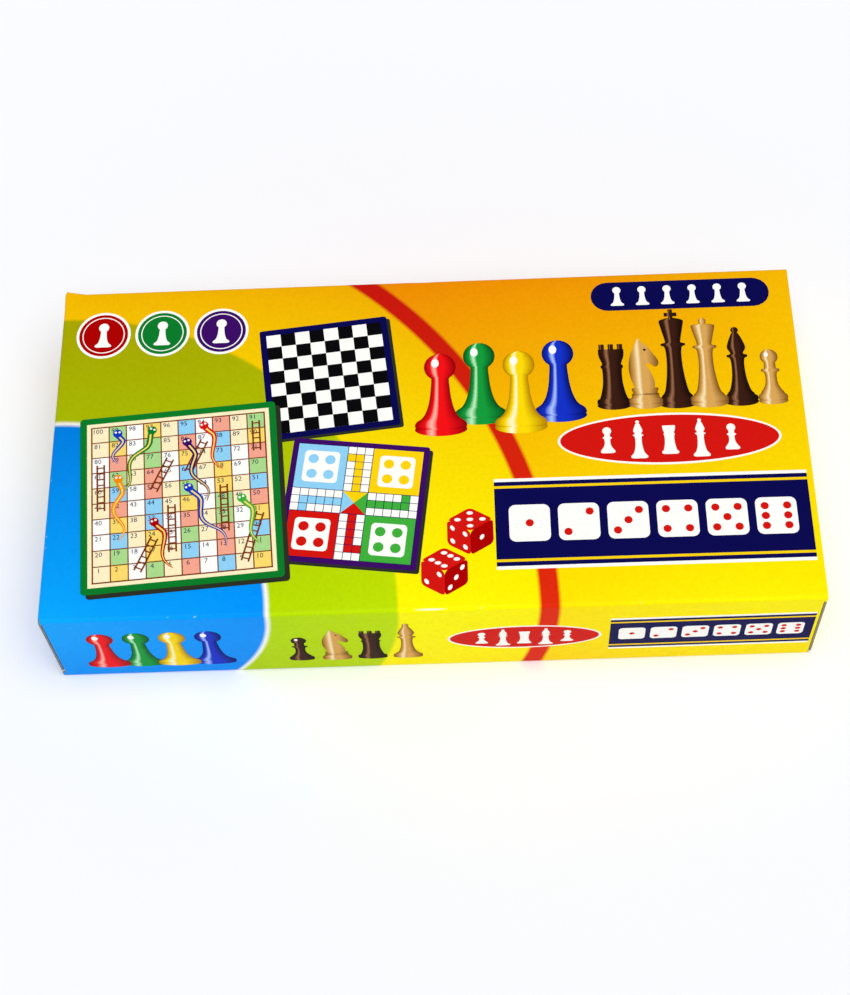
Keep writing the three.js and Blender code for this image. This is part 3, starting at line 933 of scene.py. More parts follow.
def new_shape():
    """An empty flat shape, with a map of where each point lies in its own picture."""
    shape = bmesh.new()
    shape.loops.layers.uv.new("picture")
    return shape


def new_grid(columns, rows):
    """A flat grid, one millimetre square."""
    shape = new_shape()
    bmesh.ops.create_grid(shape, x_segments=columns, y_segments=rows, size=0.5, calc_uvs=True)
    return shape


class Drawing:
    """Flat shapes of ink on one panel, in millimetres, in layers that lie on each other."""

    def __init__(self, film=COVER_FILM):
        self.bm = bmesh.new()
        self.film = film
        self.inks = []
        self.place = Matrix.Identity(4)
        self.first_layer = 1

    def at(self, right, up, turn=0.0, first_layer=1):
        """What is drawn next has its own origin there, turned, above the layers below it."""
        self.place = Matrix.Translation((right, up, 0)) @ Matrix.Rotation(math.radians(turn), 4, "Z")
        self.first_layer = first_layer

    def add(self, shape, ink, layer):
        """Puts a finished flat shape on its layer in its ink."""
        if ink not in self.inks:
            self.inks.append(ink)
        shape.transform(self.place)
        for vert in shape.verts:
            vert.co.z = (self.first_layer + layer - FILM_SHARE) * self.film / MM
        for face in shape.faces:
            face.material_index = self.inks.index(ink)
        join(self.bm, shape)

    def patch(self, ink, layer, centre, size, corner=0.0):
        """A rectangle, with round corners if they are given."""
        shape = new_grid(1, 1)
        bmesh.ops.scale(shape, vec=(*size, 1), verts=shape.verts[:])
        if corner:
            round_off(shape, shape.verts[:], corner, CORNER_STEPS, "VERTICES")
        shape.transform(Matrix.Translation((*centre, 0)))
        self.add(shape, ink, layer)

    def disc(self, ink, layer, centre, radius, height=None, sides=40):
        """A disc, or an ellipse where a half height is given."""
        shape = new_shape()
        bmesh.ops.create_circle(shape, cap_ends=True, segments=sides, radius=1, calc_uvs=True)
        bmesh.ops.scale(shape, vec=(radius, height or radius, 1), verts=shape.verts[:])
        shape.transform(Matrix.Translation((*centre, 0)))
        self.add(shape, ink, layer)

    def outline(self, ink, layer, points):
        """A filled outline, shaded from its left to its right."""
        shape = new_shape()
        picture = shape.loops.layers.uv["picture"]
        fill_outline(shape, [(*point, 0) for point in points])
        bmesh.ops.triangulate(shape, faces=shape.faces[:])
        left = min(x for x, y in points)
        wide = max(x for x, y in points) - left
        for face in shape.faces:
            for loop in face.loops:
                loop[picture].uv = ((loop.vert.co.x - left) / wide, 0)
        self.add(shape, ink, layer)

    def ribbon(self, ink, layer, path, width, steps=1):
        """A strip along a path; both are functions of the share of the way along it."""
        shape = new_grid(steps, 1)
        for vert in shape.verts:
            share = vert.co.x + 0.5
            ahead = Vector(path(share + NUDGE)) - Vector(path(share - NUDGE))
            ahead.normalize()
            side = Vector((-ahead.y, ahead.x)) * vert.co.y * width(share)
            vert.co = (*(Vector(path(share)) + side), 0)
        self.add(shape, ink, layer)

    def figure(self, ink, layer, profile, foot, scale):
        """A turned piece seen from the side: its profile and the mirror image of it, standing on its foot."""
        rows = len(profile) - 1
        shape = new_grid(2, rows)
        for vert in shape.verts:
            radius, height = profile[round((vert.co.y + 0.5) * rows)]
            vert.co = (foot[0] + 2 * vert.co.x * radius * scale, foot[1] + height * scale, 0)
        self.add(shape, ink, layer)

    def standing(self, ink, profile, scale, head=None):
        """A turned piece seen a little from above: round foot, side view, and a glint on a ball head."""
        base = max(radius for radius, height in profile) * scale
        self.disc(ink, 0, (0, 0), base, FOOT_TILT * base)
        self.figure(ink, 1, profile, (0, 0), scale)
        if head:
            centre = (GLINT_PLACE[0] * head * scale, (profile[-1][1] + GLINT_PLACE[1] * head) * scale)
            wide, tall = (share * head * scale for share in GLINT_SIZE)
            self.disc("white", 2, centre, wide, tall, sides=16)

    def numeral(self, ink, layer, text, centre, height):
        """A plain number."""
        shape = new_shape()
        shape.from_mesh(numeral_mesh(text))
        shape.transform(Matrix.Translation((*centre, 0)) @ Matrix.Scale(height, 4))
        self.add(shape, ink, layer)

    def half(self, upper):
        """A copy of what lies above the fold of a board, or below it."""
        part = Drawing(self.film)
        part.inks = self.inks
        part.bm = self.bm.copy()
        geometry = part.bm.verts[:] + part.bm.edges[:] + part.bm.faces[:]
        bmesh.ops.bisect_plane(
            part.bm, geom=geometry, dist=MERGE_DISTANCE, plane_co=(0, FOLD_CUT if upper else -FOLD_CUT, 0),
            plane_no=(0, 1, 0), clear_inner=upper, clear_outer=not upper,
        )
        return part

    def lay(self, name, body, surface, slot):
        """Gives the films their thickness and lays them on a panel."""
        self.bm.normal_update()
        bmesh.ops.reverse_faces(self.bm, faces=[face for face in self.bm.faces if face.normal.z < 0])
        raise_faces(self.bm, self.bm.faces[:], (0, 0, self.film * FILM_SHARE / MM))
        for vert in self.bm.verts:
            right, up, lift = vert.co * MM
            vert.co = surface(right, up, lift)
        made = finish_mesh(name, self.bm, [ink_material(ink) for ink in self.inks])
        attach(made, body)

    def lay_bowed(self, name, surface):
        """Lays the films on a bowed panel of the carton, cut into short lengths so that they follow it."""
        for axis in (0, 1):
            low = min(vert.co[axis] for vert in self.bm.verts)
            high = max(vert.co[axis] for vert in self.bm.verts)
            cut_across(self.bm, axis, steps_between(low, high, PANEL_STEP / MM))
        self.lay(name, "carton", surface, "printed_carton_board")


def numeral_mesh(text):
    """A number as a flat mesh about one unit high, centred, made once."""
    name = f"numeral_{text}"
    if name not in bpy.data.meshes:
        curve = bpy.data.curves.new(name, "FONT")
        curve.body = text
        curve.align_x = "CENTER"
        curve.align_y = "CENTER"
        curve.resolution_u = 2
        holder = bpy.data.objects.new(name, curve)
        bpy.data.meshes.new_from_object(holder).name = name
        bpy.data.objects.remove(holder)
    return bpy.data.meshes[name]


# Pictures of the boards, each drawn about its own middle, with sizes as shares of its side or of a square

BOARD_CORNER = 0.02
BOARD_SHADOW = 0.025
CHESS_SQUARES = 8
CHESS_FIELD = 0.9
LUDO_HOMES = [("red", -1, -1), ("leaf", 1, -1), ("yellow", 1, 1), ("sky", -1, 1)]
LUDO_ARM = 7
LUDO_FIELD = 0.92
LUDO_TILE = 0.92
LUDO_YARD_PLACE = 4.5
LUDO_YARD = 5.9
LUDO_COURT = 4.2
LUDO_COURT_CORNER = 0.5
LUDO_SPOT = 0.62
LUDO_GOAL = 1.45
RACE_SQUARES = 10
RACE_SQUARE = 0.088
RACE_PAPER = 0.93
RACE_FIELD = 10.1
RACE_TILE = 0.93
NUMBER_PLACE = Vector((-0.16, 0.24))
NUMBER_HEIGHT = 0.42
SQUARE_INKS = ["cream", "straw", "white", "mint", "cream", "salmon", "white", "sky"]
LADDERS = [(3, 24), (9, 31), (16, 45), (28, 53), (41, 80), (57, 76), (66, 87), (71, 91)]
LADDER_REACH = 0.2
LADDER_RAIL = 0.1
RUNG = 0.08
RUNG_REACH = 0.75
RUNG_STEP = 0.36
SNAKES = [
    (97, 59, "green"),
    (94, 68, "red"),
    (86, 47, "purple"),
    (62, 22, "orange"),
    (55, 13, "blue"),
    (49, 11, "leaf"),
    (37, 5, "dark_red"),
    (99, 79, "blue"),
]
SNAKE_BEND = 1.6
SNAKE_SWAY = 0.3
SNAKE_NECK = 0.25
SNAKE_BODY = 0.34
SNAKE_TAIL = 0.03
SNAKE_TAPER = 0.6
SNAKE_STRIPE = 0.3
SNAKE_HEAD = 0.27
SNAKE_EYE = 0.07
SNAKE_EYE_PLACE = (0.11, 0.08)
BEND_STEPS = 16


def draw_chessboard(drawing, side, frame_ink):
    """Eight by eight squares in a frame."""
    drawing.patch(frame_ink, 0, (0, 0), (side, side), BOARD_CORNER * side)
    field = CHESS_FIELD * side
    drawing.patch("white", 1, (0, 0), (field, field))
    square = field / CHESS_SQUARES
    middle = (CHESS_SQUARES - 1) / 2
    for row in range(CHESS_SQUARES):
        for column in range(row % 2, CHESS_SQUARES, 2):
            centre = ((column - middle) * square, (row - middle) * square)
            drawing.patch("black", 2, centre, (square, square))


def home_run(right, up):
    """Which way the home run of a ludo yard points, as steps right and up."""
    return (0, up) if right * up > 0 else (right, 0)


def track_ink(column, row):
    """Ink of one square of the ludo track: a home's colour on its run and its start."""
    ink = "white"
    for home, right, up in LUDO_HOMES:
        x, y = home_run(right, up)
        on_run = column * y == row * x and column * x + row * y > 0 and abs(column + row) < LUDO_ARM
        start = ((LUDO_ARM - 1) * x - y, (LUDO_ARM - 1) * y + x)
        if on_run or (column, row) == start:
            ink = home
    return ink


def draw_ludo(drawing, side, frame_ink):
    """Four home yards, a cross of small squares and four home runs."""
    drawing.patch(frame_ink, 0, (0, 0), (side, side), BOARD_CORNER * side)
    field = LUDO_FIELD * side
    drawing.patch("navy", 1, (0, 0), (field, field))
    square = field / (2 * LUDO_ARM + 1)
    tile = LUDO_TILE * square
    for column in range(-LUDO_ARM, LUDO_ARM + 1):
        for row in range(-LUDO_ARM, LUDO_ARM + 1):
            if min(abs(column), abs(row)) <= 1 and max(abs(column), abs(row)) >= 2:
                centre = (column * square, row * square)
                drawing.patch(track_ink(column, row), 2, centre, (tile, tile))
    yard = LUDO_YARD * square
    court = LUDO_COURT * square
    goal = LUDO_GOAL * square
    for home, right, up in LUDO_HOMES:
        middle = (right * LUDO_YARD_PLACE * square, up * LUDO_YARD_PLACE * square)
        drawing.patch(home, 2, middle, (yard, yard))
        drawing.patch("white", 3, middle, (court, court), LUDO_COURT_CORNER * square)
        for i in (-1, 1):
            for j in (-1, 1):
                spot = (middle[0] + i * square, middle[1] + j * square)
                drawing.disc(home, 4, spot, LUDO_SPOT * square, sides=20)
        x, y = home_run(right, up)
        drawing.outline(home, 2, [(0, 0), (goal * (x + y), goal * (y - x)), (goal * (x - y), goal * (y + x))])


def draw_snakes_and_ladders(drawing, side, frame_ink):
    """A hundred numbered squares, with ladders and snakes between them."""
    drawing.patch(frame_ink, 0, (0, 0), (side, side), BOARD_CORNER * side)
    square = RACE_SQUARE * side
    drawing.patch("cream", 1, (0, 0), (RACE_PAPER * side, RACE_PAPER * side))
    drawing.patch("brown", 2, (0, 0), (RACE_FIELD * square, RACE_FIELD * square))
    middle = (RACE_SQUARES - 1) / 2

    def centre(number):
        row, step = divmod(number - 1, RACE_SQUARES)
        column = step if row % 2 == 0 else RACE_SQUARES - 1 - step
        return Vector(((column - middle) * square, (row - middle) * square))

    for number in range(1, RACE_SQUARES ** 2 + 1):
        row, step = divmod(number - 1, RACE_SQUARES)
        ink = SQUARE_INKS[(3 * row + step) % len(SQUARE_INKS)]
        drawing.patch(ink, 3, centre(number), (RACE_TILE * square, RACE_TILE * square))
        corner = centre(number) + NUMBER_PLACE * square
        drawing.numeral("navy", 4, str(number), corner, NUMBER_HEIGHT * square)
    for foot, top in LADDERS:
        draw_ladder(drawing, centre(foot), centre(top), square)
    for head, tail, ink in SNAKES:
        draw_snake(drawing, centre(head), centre(tail), ink, square)


def draw_bar(drawing, start, end, width):
    """A straight brown bar of a ladder."""
    drawing.ribbon("brown", 5, lambda share: start + (end - start) * share, lambda share: width)


def draw_ladder(drawing, foot, top, square):
    """Two rails and rungs between them."""
    ahead = (top - foot).normalized()
    side = Vector((-ahead.y, ahead.x)) * LADDER_REACH * square
    for hand in (-1, 1):
        draw_bar(drawing, foot + hand * side, top + hand * side, LADDER_RAIL * square)
    rungs = round((top - foot).length / (RUNG_STEP * square))
    for i in range(rungs):
        middle = foot + (top - foot) * (i + 0.5) / rungs
        draw_bar(drawing, middle - RUNG_REACH * side, middle + RUNG_REACH * side, RUNG * square)


def draw_snake(drawing, head, tail, ink, square):
    """A winding body that thins to its tail, with a stripe, a round head and two eyes."""
    ahead = (tail - head).normalized()
    side = Vector((-ahead.y, ahead.x))
    bends = max(2, round((tail - head).length / (SNAKE_BEND * square)))

    def path(share):
        sway = math.sin(share * bends * math.pi) * SNAKE_SWAY * square * min(1, share / SNAKE_NECK)
        return head + (tail - head) * share + side * sway

    def width(share):
        return SNAKE_BODY * square * (1 - share) ** SNAKE_TAPER + SNAKE_TAIL * square

    drawing.ribbon(ink, 6, path, width, BEND_STEPS * bends)
    drawing.ribbon("straw", 7, path, lambda share: SNAKE_STRIPE * width(share), BEND_STEPS * bends)
    drawing.disc(ink, 8, head, SNAKE_HEAD * square, sides=20)
    apart, behind = (share * square for share in SNAKE_EYE_PLACE)
    for hand in (-1, 1):
        eye = head + side * hand * apart - ahead * behind
        drawing.disc("white", 9, eye, SNAKE_EYE * square, sides=10)


def draw_board_picture(drawing, draw, place, turn, side, frame_ink, first_layer=1):
    """A picture of a board with the shadow that it throws."""
    drawing.at(*place, turn=turn, first_layer=first_layer)
    fall = BOARD_SHADOW * side
    drawing.patch("shadow", 0, (fall, -fall), (side, side), BOARD_CORNER * side)
    drawing.at(*place, turn=turn, first_layer=first_layer + 1)
    draw(drawing, side, frame_ink)


# Pictures of the pieces, and the bands and badges round them

TOKEN_INKS = ["red_pawn", "green_pawn", "yellow_pawn", "blue_pawn"]
WOOD_INKS = ["dark_wood", "light_wood"]
# First layers of the pieces in a row, in turn, so that each lies clear over or under its neighbours
TOKEN_LAYERS = (4, 1)
MEN_LAYERS = (1, 5)
# Shares of a die's side
DIE_CORNER = 0.16
DIE_PIP = 0.1
DIE_PIP_STEP = 0.27
DIE_LEAN = math.cos(math.radians(30))
# Faces of a die seen from a corner: which way its right and its up lean, its middle and its ink
DIE_FACES = [
    ((DIE_LEAN, -0.5), (0, 1), (-DIE_LEAN / 2, -0.25), "red"),
    ((DIE_LEAN, 0.5), (0, 1), (DIE_LEAN / 2, -0.25), "dark_red"),
    ((DIE_LEAN, 0.5), (-DIE_LEAN, 0.5), (0, 0.5), "red"),
]
# Rings of a badge, white and its ink in turn, and the height of its token, as shares of its radius
BADGE_INKS = ["dark_red", "green", "purple"]
BADGE_RINGS = [1, 0.9, 0.78, 0.74]
BADGE_TOKEN = 1.04
# Shares of a rook's head
MERLON_STEP = 0.72
MERLON_WIDTH = 0.42
# Sizes in millimetres
KNIGHT_SINK = 0.2
EYE_RADIUS = 0.7
OVAL_LINE = 1
OVAL_RANKS = ["pawn", "bishop", "rook", "bishop", "pawn"]
OVAL_PITCHES = 3.6
BAND_LINE = 1.5
BAND_RULE = 1.2
BAND_RULE_INSET = 4
BAND_PITCHES = 6.4
BAND_END = LENGTH / MM - 2.6
STRIP_TOKENS = 6
STRIP_CORNER = 7.4


def pip_places(count):
    """Pips of one face of a die, as steps right and up from its middle."""
    places = [(0, 0)] if count % 2 else []
    if count > 1:
        places += [(-1, -1), (1, 1)]
    if count > 3:
        places += [(-1, 1), (1, -1)]
    if count > 5:
        places += [(-1, 0), (1, 0)]
    return places


def draw_die_face(drawing, side, count, face_ink, pip_ink):
    """One face of a die, square on."""
    drawing.patch(face_ink, 0, (0, 0), (side, side), DIE_CORNER * side)
    step = DIE_PIP_STEP * side
    for right, up in pip_places(count):
        drawing.disc(pip_ink, 1, (step * right, step * up), DIE_PIP * side, sides=20)


def draw_solid_die(drawing, place, side, counts):
    """A red die seen from a corner: three faces, each a square that is leant over."""
    drawing.at(*place)
    home = drawing.place.copy()
    for (right, up, middle, ink), count in zip(DIE_FACES, counts):
        lean = [(right[i], up[i], 0, middle[i] * side) for i in (0, 1)]
        drawing.place = home @ Matrix(lean + [(0, 0, 1, 0), (0, 0, 0, 1)])
        draw_die_face(drawing, side, count, ink, "white")


def draw_badges(drawing, first, pitch, radius):
    """A row of round badges with white rims and a token on each."""
    tall = BADGE_TOKEN * radius
    for i, ink in enumerate(BADGE_INKS):
        drawing.at(first[0] + i * pitch, first[1])
        for layer, share in enumerate(BADGE_RINGS):
            drawing.disc(ink if layer % 2 else "white", layer, (0, 0), share * radius)
        scale = tall / TOKEN["height"]
        drawing.figure("white", len(BADGE_RINGS), token_profile(), (0, -tall / 2), scale)


def draw_tokens(drawing, foot, pitch, tall, stagger=0.0):
    """A row of ludo tokens, every second one a little higher."""
    for i, ink in enumerate(TOKEN_INKS):
        drawing.at(foot[0] + i * pitch, foot[1] + stagger * (i % 2), first_layer=TOKEN_LAYERS[i % 2])
        drawing.standing(ink, token_profile(), tall / TOKEN["height"], TOKEN["head"])


def draw_man(drawing, rank, ink, scale):
    """One chessman: its turned body, and what stands on it."""
    man = MEN[rank]
    drawing.standing(ink, man_profile(rank), scale, man["head"] if rank == "pawn" else None)
    top = man["height"] * scale
    if rank == "king":
        tall, bar = CROSS * scale, CROSS_BAR * scale
        drawing.patch(ink, 2, (0, top - tall / 2), (bar, tall))
        drawing.patch(ink, 3, (0, top - tall / 2), (tall, bar))
    if rank == "rook":
        head, tall = man["head"] * scale, TURRET_RECESS * scale
        for step in (-1, 0, 1):
            drawing.patch(ink, 2, (step * MERLON_STEP * head, top - tall / 2), (MERLON_WIDTH * head, tall))
    if rank == "knight":
        drawing.outline(ink, 2, [(x * scale, (y - KNIGHT_SINK) * scale) for x, y in knight_outline()])
        eye = (KNIGHT_EYE[0] * scale, KNIGHT_EYE[1] * scale)
        drawing.disc("black", 3, eye, EYE_RADIUS * scale, sides=12)


def draw_men(drawing, foot, pitch, scale, ranks):
    """A row of chessmen, dark and light in turn."""
    for i, rank in enumerate(ranks):
        drawing.at(foot[0] + i * pitch, foot[1], first_layer=MEN_LAYERS[i % 2])
        draw_man(drawing, rank, WOOD_INKS[i % 2], scale)


def draw_oval(drawing, place, half_length, half_height, men_scale):
    """A red oval with a white line and a row of small white chessmen."""
    drawing.at(*place)
    drawing.disc("white", 0, (0, 0), half_length, half_height, sides=72)
    drawing.disc("red", 1, (0, 0), half_length - OVAL_LINE, half_height - OVAL_LINE, sides=72)
    pitch = half_length / OVAL_PITCHES
    middle = (len(OVAL_RANKS) - 1) / 2
    for i, rank in enumerate(OVAL_RANKS):
        tall = MEN[rank]["height"] * men_scale
        drawing.figure("white", 2, man_profile(rank), ((i - middle) * pitch, -tall / 2), men_scale)


def draw_dice_band(drawing, level, length, height, tile):
    """A navy band between white lines, up to the right end of its panel, with the six faces of a die."""
    centre = BAND_END - length / 2
    drawing.at(centre, level)
    drawing.patch("white", 0, (0, 0), (length, height))
    drawing.patch("navy", 1, (0, 0), (length, height - 2 * BAND_LINE))
    for hand in (1, -1):
        drawing.patch("yellow", 2, (0, hand * (height / 2 - BAND_RULE_INSET)), (length, BAND_RULE))
    for count in range(1, 7):
        drawing.at(centre + (count - 3.5) * length / BAND_PITCHES, level, first_layer=3)
        draw_die_face(drawing, tile, count, "white", "red")


def draw_token_strip(drawing, place, size, pitch, tall):
    """A navy strip with a row of small white tokens."""
    drawing.at(*place)
    drawing.patch("navy", 0, (0, 0), size, STRIP_CORNER)
    middle = (STRIP_TOKENS - 1) / 2
    for i in range(STRIP_TOKENS):
        foot = ((i - middle) * pitch, -tall / 2)
        drawing.figure("white", 1, token_profile(), foot, tall / TOKEN["height"])


# Panels that are printed on

# What is left free between the fold and the print, on the outer and on the inner faces of a board
OUTER_MARGIN = 14 * MM
INNER_MARGIN = 1 * MM


def on_top(sizes):
    """Panel places from the front left corner of the top, as points on it."""
    def surface(right, up, lift):
        point = bowed((right - HALF_LENGTH, up - HALF_WIDTH, HEIGHT), sizes)
        return point + Vector((0, 0, lift))
    return surface


def on_side(sizes, hand):
    """Panel places from the lower left corner of the front, hand -1, or of the back, hand 1."""
    def surface(right, up, lift):
        point = bowed((-hand * (right - HALF_LENGTH), hand * HALF_WIDTH, up), sizes)
        return point + Vector((0, hand * lift, 0))
    return surface


def on_end(hand):
    """Panel places from the lower left corner of the left end, hand -1, or the right end, hand 1."""
    def surface(right, up, lift):
        return Vector((hand * (HALF_LENGTH + lift), hand * (right - HALF_WIDTH), up))
    return surface


def on_leaf(node, upward, spine, margin):
    """Places on an open board, carried to a folded leaf whose spine is at the back, 1, or the front, -1."""
    low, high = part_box(node)
    middle = (low.x + high.x) / 2
    fold_line = high.y if spine > 0 else low.y

    def surface(right, up, lift):
        level = high.z + lift if upward else low.z - lift
        return Vector((middle + spine * right, fold_line - spine * (abs(up) + margin), level))
    return surface


def print_board(title, board, spine, draw, side, frame_ink, outer):
    """Prints a game on the outer or the inner faces of a folded board, half on each leaf."""
    game = Drawing(BOARD_FILM)
    draw(game, side, frame_ink)
    margin = OUTER_MARGIN if outer else INNER_MARGIN
    for leaf in ("lower_leaf", "upper_leaf"):
        upward = (leaf == "upper_leaf") == outer
        surface = on_leaf(f"{board}_{leaf}", upward, spine, margin)
        game.half(not upward).lay(f"{title}_print_on_{leaf}", "carton", surface, "printed_game_board")
    game.bm.free()


# Playing pieces

CROSS_ROUND = 0.4 * MM
KNIGHT_ROUND = 1.2 * MM
KNIGHT_RIM_ANGLE = math.radians(60)
# A rook's wall stands where a wave of this many turns round it is above this level
MERLONS = 4
MERLON_LEVEL = -0.5
BLOCK_STEPS = 3
DIE_ROUND = 1.7 * MM
PIP_RADIUS = 1.2 * MM
PIP_DEPTH = 0.5 * MM
PIP_SPACING = 3.4 * MM
# How the top of a die turns to each of its faces, from one pip to six
DIE_TURNS = [("X", 0), ("X", 90), ("Y", 90), ("Y", -90), ("X", -90), ("X", 180)]


def turned_piece(profile):
    """A turned piece about +Z, from its profile in millimetres."""
    bm = bmesh.new()
    draw_chain(bm, [(radius * MM, 0, height * MM) for radius, height in profile])
    bmesh.ops.spin(
        bm, geom=bm.verts[:] + bm.edges[:], cent=(0, 0, 0), axis=(0, 0, 1), angle=2 * math.pi,
        steps=TURN_STEPS, use_merge=True,
    )
    bmesh.ops.remove_doubles(bm, verts=bm.verts[:], dist=MERGE_DISTANCE)
    bmesh.ops.recalc_face_normals(bm, faces=bm.faces[:])
    return bm


def block(size, centre, radius):
    """A block with rounded edges."""
    bm = bmesh.new()
    bmesh.ops.create_cube(bm, size=1)
    bmesh.ops.scale(bm, vec=size, verts=bm.verts[:])
    round_off(bm, bm.edges[:], radius, BLOCK_STEPS)
    bmesh.ops.translate(bm, vec=centre, verts=bm.verts[:])
    return bm


def add_cross(bm):
    """The cross on a king's crown."""
    tall, bar = CROSS * MM, CROSS_BAR * MM
    centre = (0, 0, MEN["king"]["height"] * MM - tall / 2)
    for size in ((bar, bar, tall), (tall, bar, bar)):
        join(bm, block(size, centre, CROSS_ROUND))


def add_merlons(bm):
    """The notched wall on a rook's turret, drawn up from its rim."""
    rook = MEN["rook"]
    rim = (rook["height"] - TURRET_RECESS) * MM
    wall = (rook["head"] - TURRET_WALL) * MM
    merlons = []
    for face in bm.faces:
        x, y, z = face.calc_center_median()
        on_rim = face.normal.z > 0.9 and z > rim - MERGE_DISTANCE and math.hypot(x, y) > wall
        if on_rim and math.sin(MERLONS * math.atan2(y, x)) > MERLON_LEVEL:
            merlons.append(face)
    raise_faces(bm, merlons, (0, 0, TURRET_RECESS * MM))
    bmesh.ops.delete(bm, geom=merlons, context="FACES")


def add_horse_head(bm):
    """The horse's head on a knight's foot: its outline, thickened and rounded."""
    half = MEN["knight"]["head"] * MM
    head = bmesh.new()
    base = fill_outline(head, [(x * MM, -half, y * MM) for x, y in knight_outline()])
    raise_faces(head, base, (0, 2 * half, 0))
    bmesh.ops.recalc_face_normals(head, faces=head.faces[:])
    rims = [edge for edge in head.edges if edge.calc_face_angle(0) > KNIGHT_RIM_ANGLE]
    round_off(head, rims, KNIGHT_ROUND, BLOCK_STEPS, clamp=True)
    join(bm, head)


def chessman(rank):
    """A whole chessman standing on the origin."""
    bm = turned_piece(man_profile(rank))
    if rank == "king":
        add_cross(bm)
    if rank == "rook":
        add_merlons(bm)
    if rank == "knight":
        add_horse_head(bm)
    return bm


def lying_tilt(rank):
    """How far a man on its side tips: the steepest line from its foot's rim that clears its outline."""
    man = MEN[rank]
    points = [point for point in man_profile(rank) if point[1] > 2 * FOOT]
    if rank == "knight":
        points.append((man["head"], man["height"]))
    return min(math.atan2(man["base"] - radius, height) for radius, height in points)


def place_piece(bm, matrix, node, material):
    """Puts a playing piece where its node is."""
    bm.transform(matrix)
    stand_for(finish_mesh(f"moulded_{node}", bm, [material]), node)


def stand_token(node, material):
    """Stands a ludo token where its node is."""
    low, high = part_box(node)
    place = Matrix.Translation(((low.x + high.x) / 2, (low.y + high.y) / 2, low.z))
    place_piece(turned_piece(token_profile()), place, node, material)


def lay_man(node, rank, towards, material):
    """Lays a chessman on its side where its node is, its head pointing to the back or to the front."""
    low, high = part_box(node)
    tilt = lying_tilt(rank)
    base = MEN[rank]["base"] * MM
    foot = low.y + base * math.sin(tilt) if towards > 0 else high.y - base * math.sin(tilt)
    stand = Matrix.Rotation(-towards * (math.pi / 2 + tilt), 4, "X")
    place = Matrix.Translation(((low.x + high.x) / 2, foot, low.z + base * math.cos(tilt)))
    place_piece(chessman(rank), place @ stand, node, material)


def lay_pawns(node, material):
    """Lays two pawns foot to foot where their node is."""
    low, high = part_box(node)
    pair = bmesh.new()
    for turn in (-math.pi / 2, math.pi / 2):
        pawn = chessman("pawn")
        pawn.transform(Matrix.Rotation(turn, 4, "X"))
        join(pair, pawn)
    place_piece(pair, Matrix.Translation((low + high) / 2), node, material)


def make_die(node, plastic, paint):
    """A rounded cube with drilled pips; opposite faces add up to seven."""
    low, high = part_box(node)
    side = high.z - low.z
    materials = [plastic, paint]
    cube = block((side, side, side), (0, 0, 0), DIE_ROUND)
    die = finish_mesh(f"moulded_{node}", cube, materials)
    drills = bmesh.new()
    level = side / 2 + PIP_RADIUS - PIP_DEPTH
    for count, (axis, turn) in enumerate(DIE_TURNS, 1):
        for right, up in pip_places(count):
            drill = Matrix.Translation((right * PIP_SPACING, up * PIP_SPACING, level))
            turned = Matrix.Rotation(math.radians(turn), 4, axis) @ drill
            bmesh.ops.create_uvsphere(drills, u_segments=16, v_segments=10, radius=PIP_RADIUS, matrix=turned)
    for face in drills.faces:
        face.material_index = materials.index(paint)
    cutter = finish_mesh(f"{node}_drills", drills, materials)
    cut = die.modifiers.new("pips", "BOOLEAN")
    cut.operation = "DIFFERENCE"
    cut.solver = "EXACT"
    cut.object = cutter
    bpy.context.view_layer.update()
    drilled = bpy.data.meshes.new_from_object(die.evaluated_get(bpy.context.evaluated_depsgraph_get()))
    die.modifiers.clear()
    die.data = drilled
    drilled.transform(Matrix.Translation((low + high) / 2))
    smooth_rounds(drilled)
    bpy.data.objects.remove(cutter)
    stand_for(die, node)


# Stage

FLOOR_SIDE = 6.0
KEY_PLACE = (0.2, -0.4, 1.5)
CAMERA_PLACE = (0.0204, -0.4108, 0.7586)
CAMERA_TURN = (28.465, 2.274, -0.918)
# Light of the room at the horizon and overhead, and how high each begins
ROOM_LIGHT = [(0.2, (0.85, 0.87, 0.9, 1)), (0.55, (0.1, 0.1, 0.11, 1))]


def make_floor(colour):
    """A wide floor of studio paper."""
    bm = bmesh.new()
    bmesh.ops.create_grid(bm, x_segments=1, y_segments=1, size=FLOOR_SIDE / 2)
    finish_mesh("floor", bm, [background_paper(colour)])


def make_key_light(strength, width):
    """A wide soft light from above, a little to the front and the right."""
    light = bpy.data.lights.new("key_light", "SUN")
    light.energy = strength
    light.angle = width
    holder = bpy.data.objects.new("key_light", light)
    holder.location = KEY_PLACE
    holder.rotation_euler = Vector(KEY_PLACE).to_track_quat("Z", "Y").to_euler()
    bpy.context.scene.collection.objects.link(holder)


def make_world():
    """A pale room: bright round the horizon and dim overhead."""
    world = bpy.data.worlds.new("pale_room")
    world.use_nodes = True
    tree = world.node_tree
    tree.nodes.clear()
    direction = add_node(tree, "ShaderNodeTexCoord").outputs["Generated"]
    height = add_node(tree, "ShaderNodeSeparateXYZ", {0: direction}).outputs["Z"]
    room = add_node(tree, "ShaderNodeValToRGB", {"Fac": height}, ROOM_LIGHT).outputs[0]
    background = add_node(tree, "ShaderNodeBackground", {"Color": room, "Strength": 1.0})
    add_node(tree, "ShaderNodeOutputWorld", {"Surface": background.outputs[0]})
    bpy.context.scene.world = world


def make_camera(lens):
    """A camera above and in front of the carton, all in focus."""
    camera = bpy.data.cameras.new("camera")
    camera.lens = lens
    camera.dof.use_dof = False
    holder = bpy.data.objects.new("camera", camera)
    holder.location = CAMERA_PLACE
    holder.rotation_euler = [math.radians(angle) for angle in CAMERA_TURN]
    bpy.context.scene.collection.objects.link(holder)
    bpy.context.scene.camera = holder


# Operators


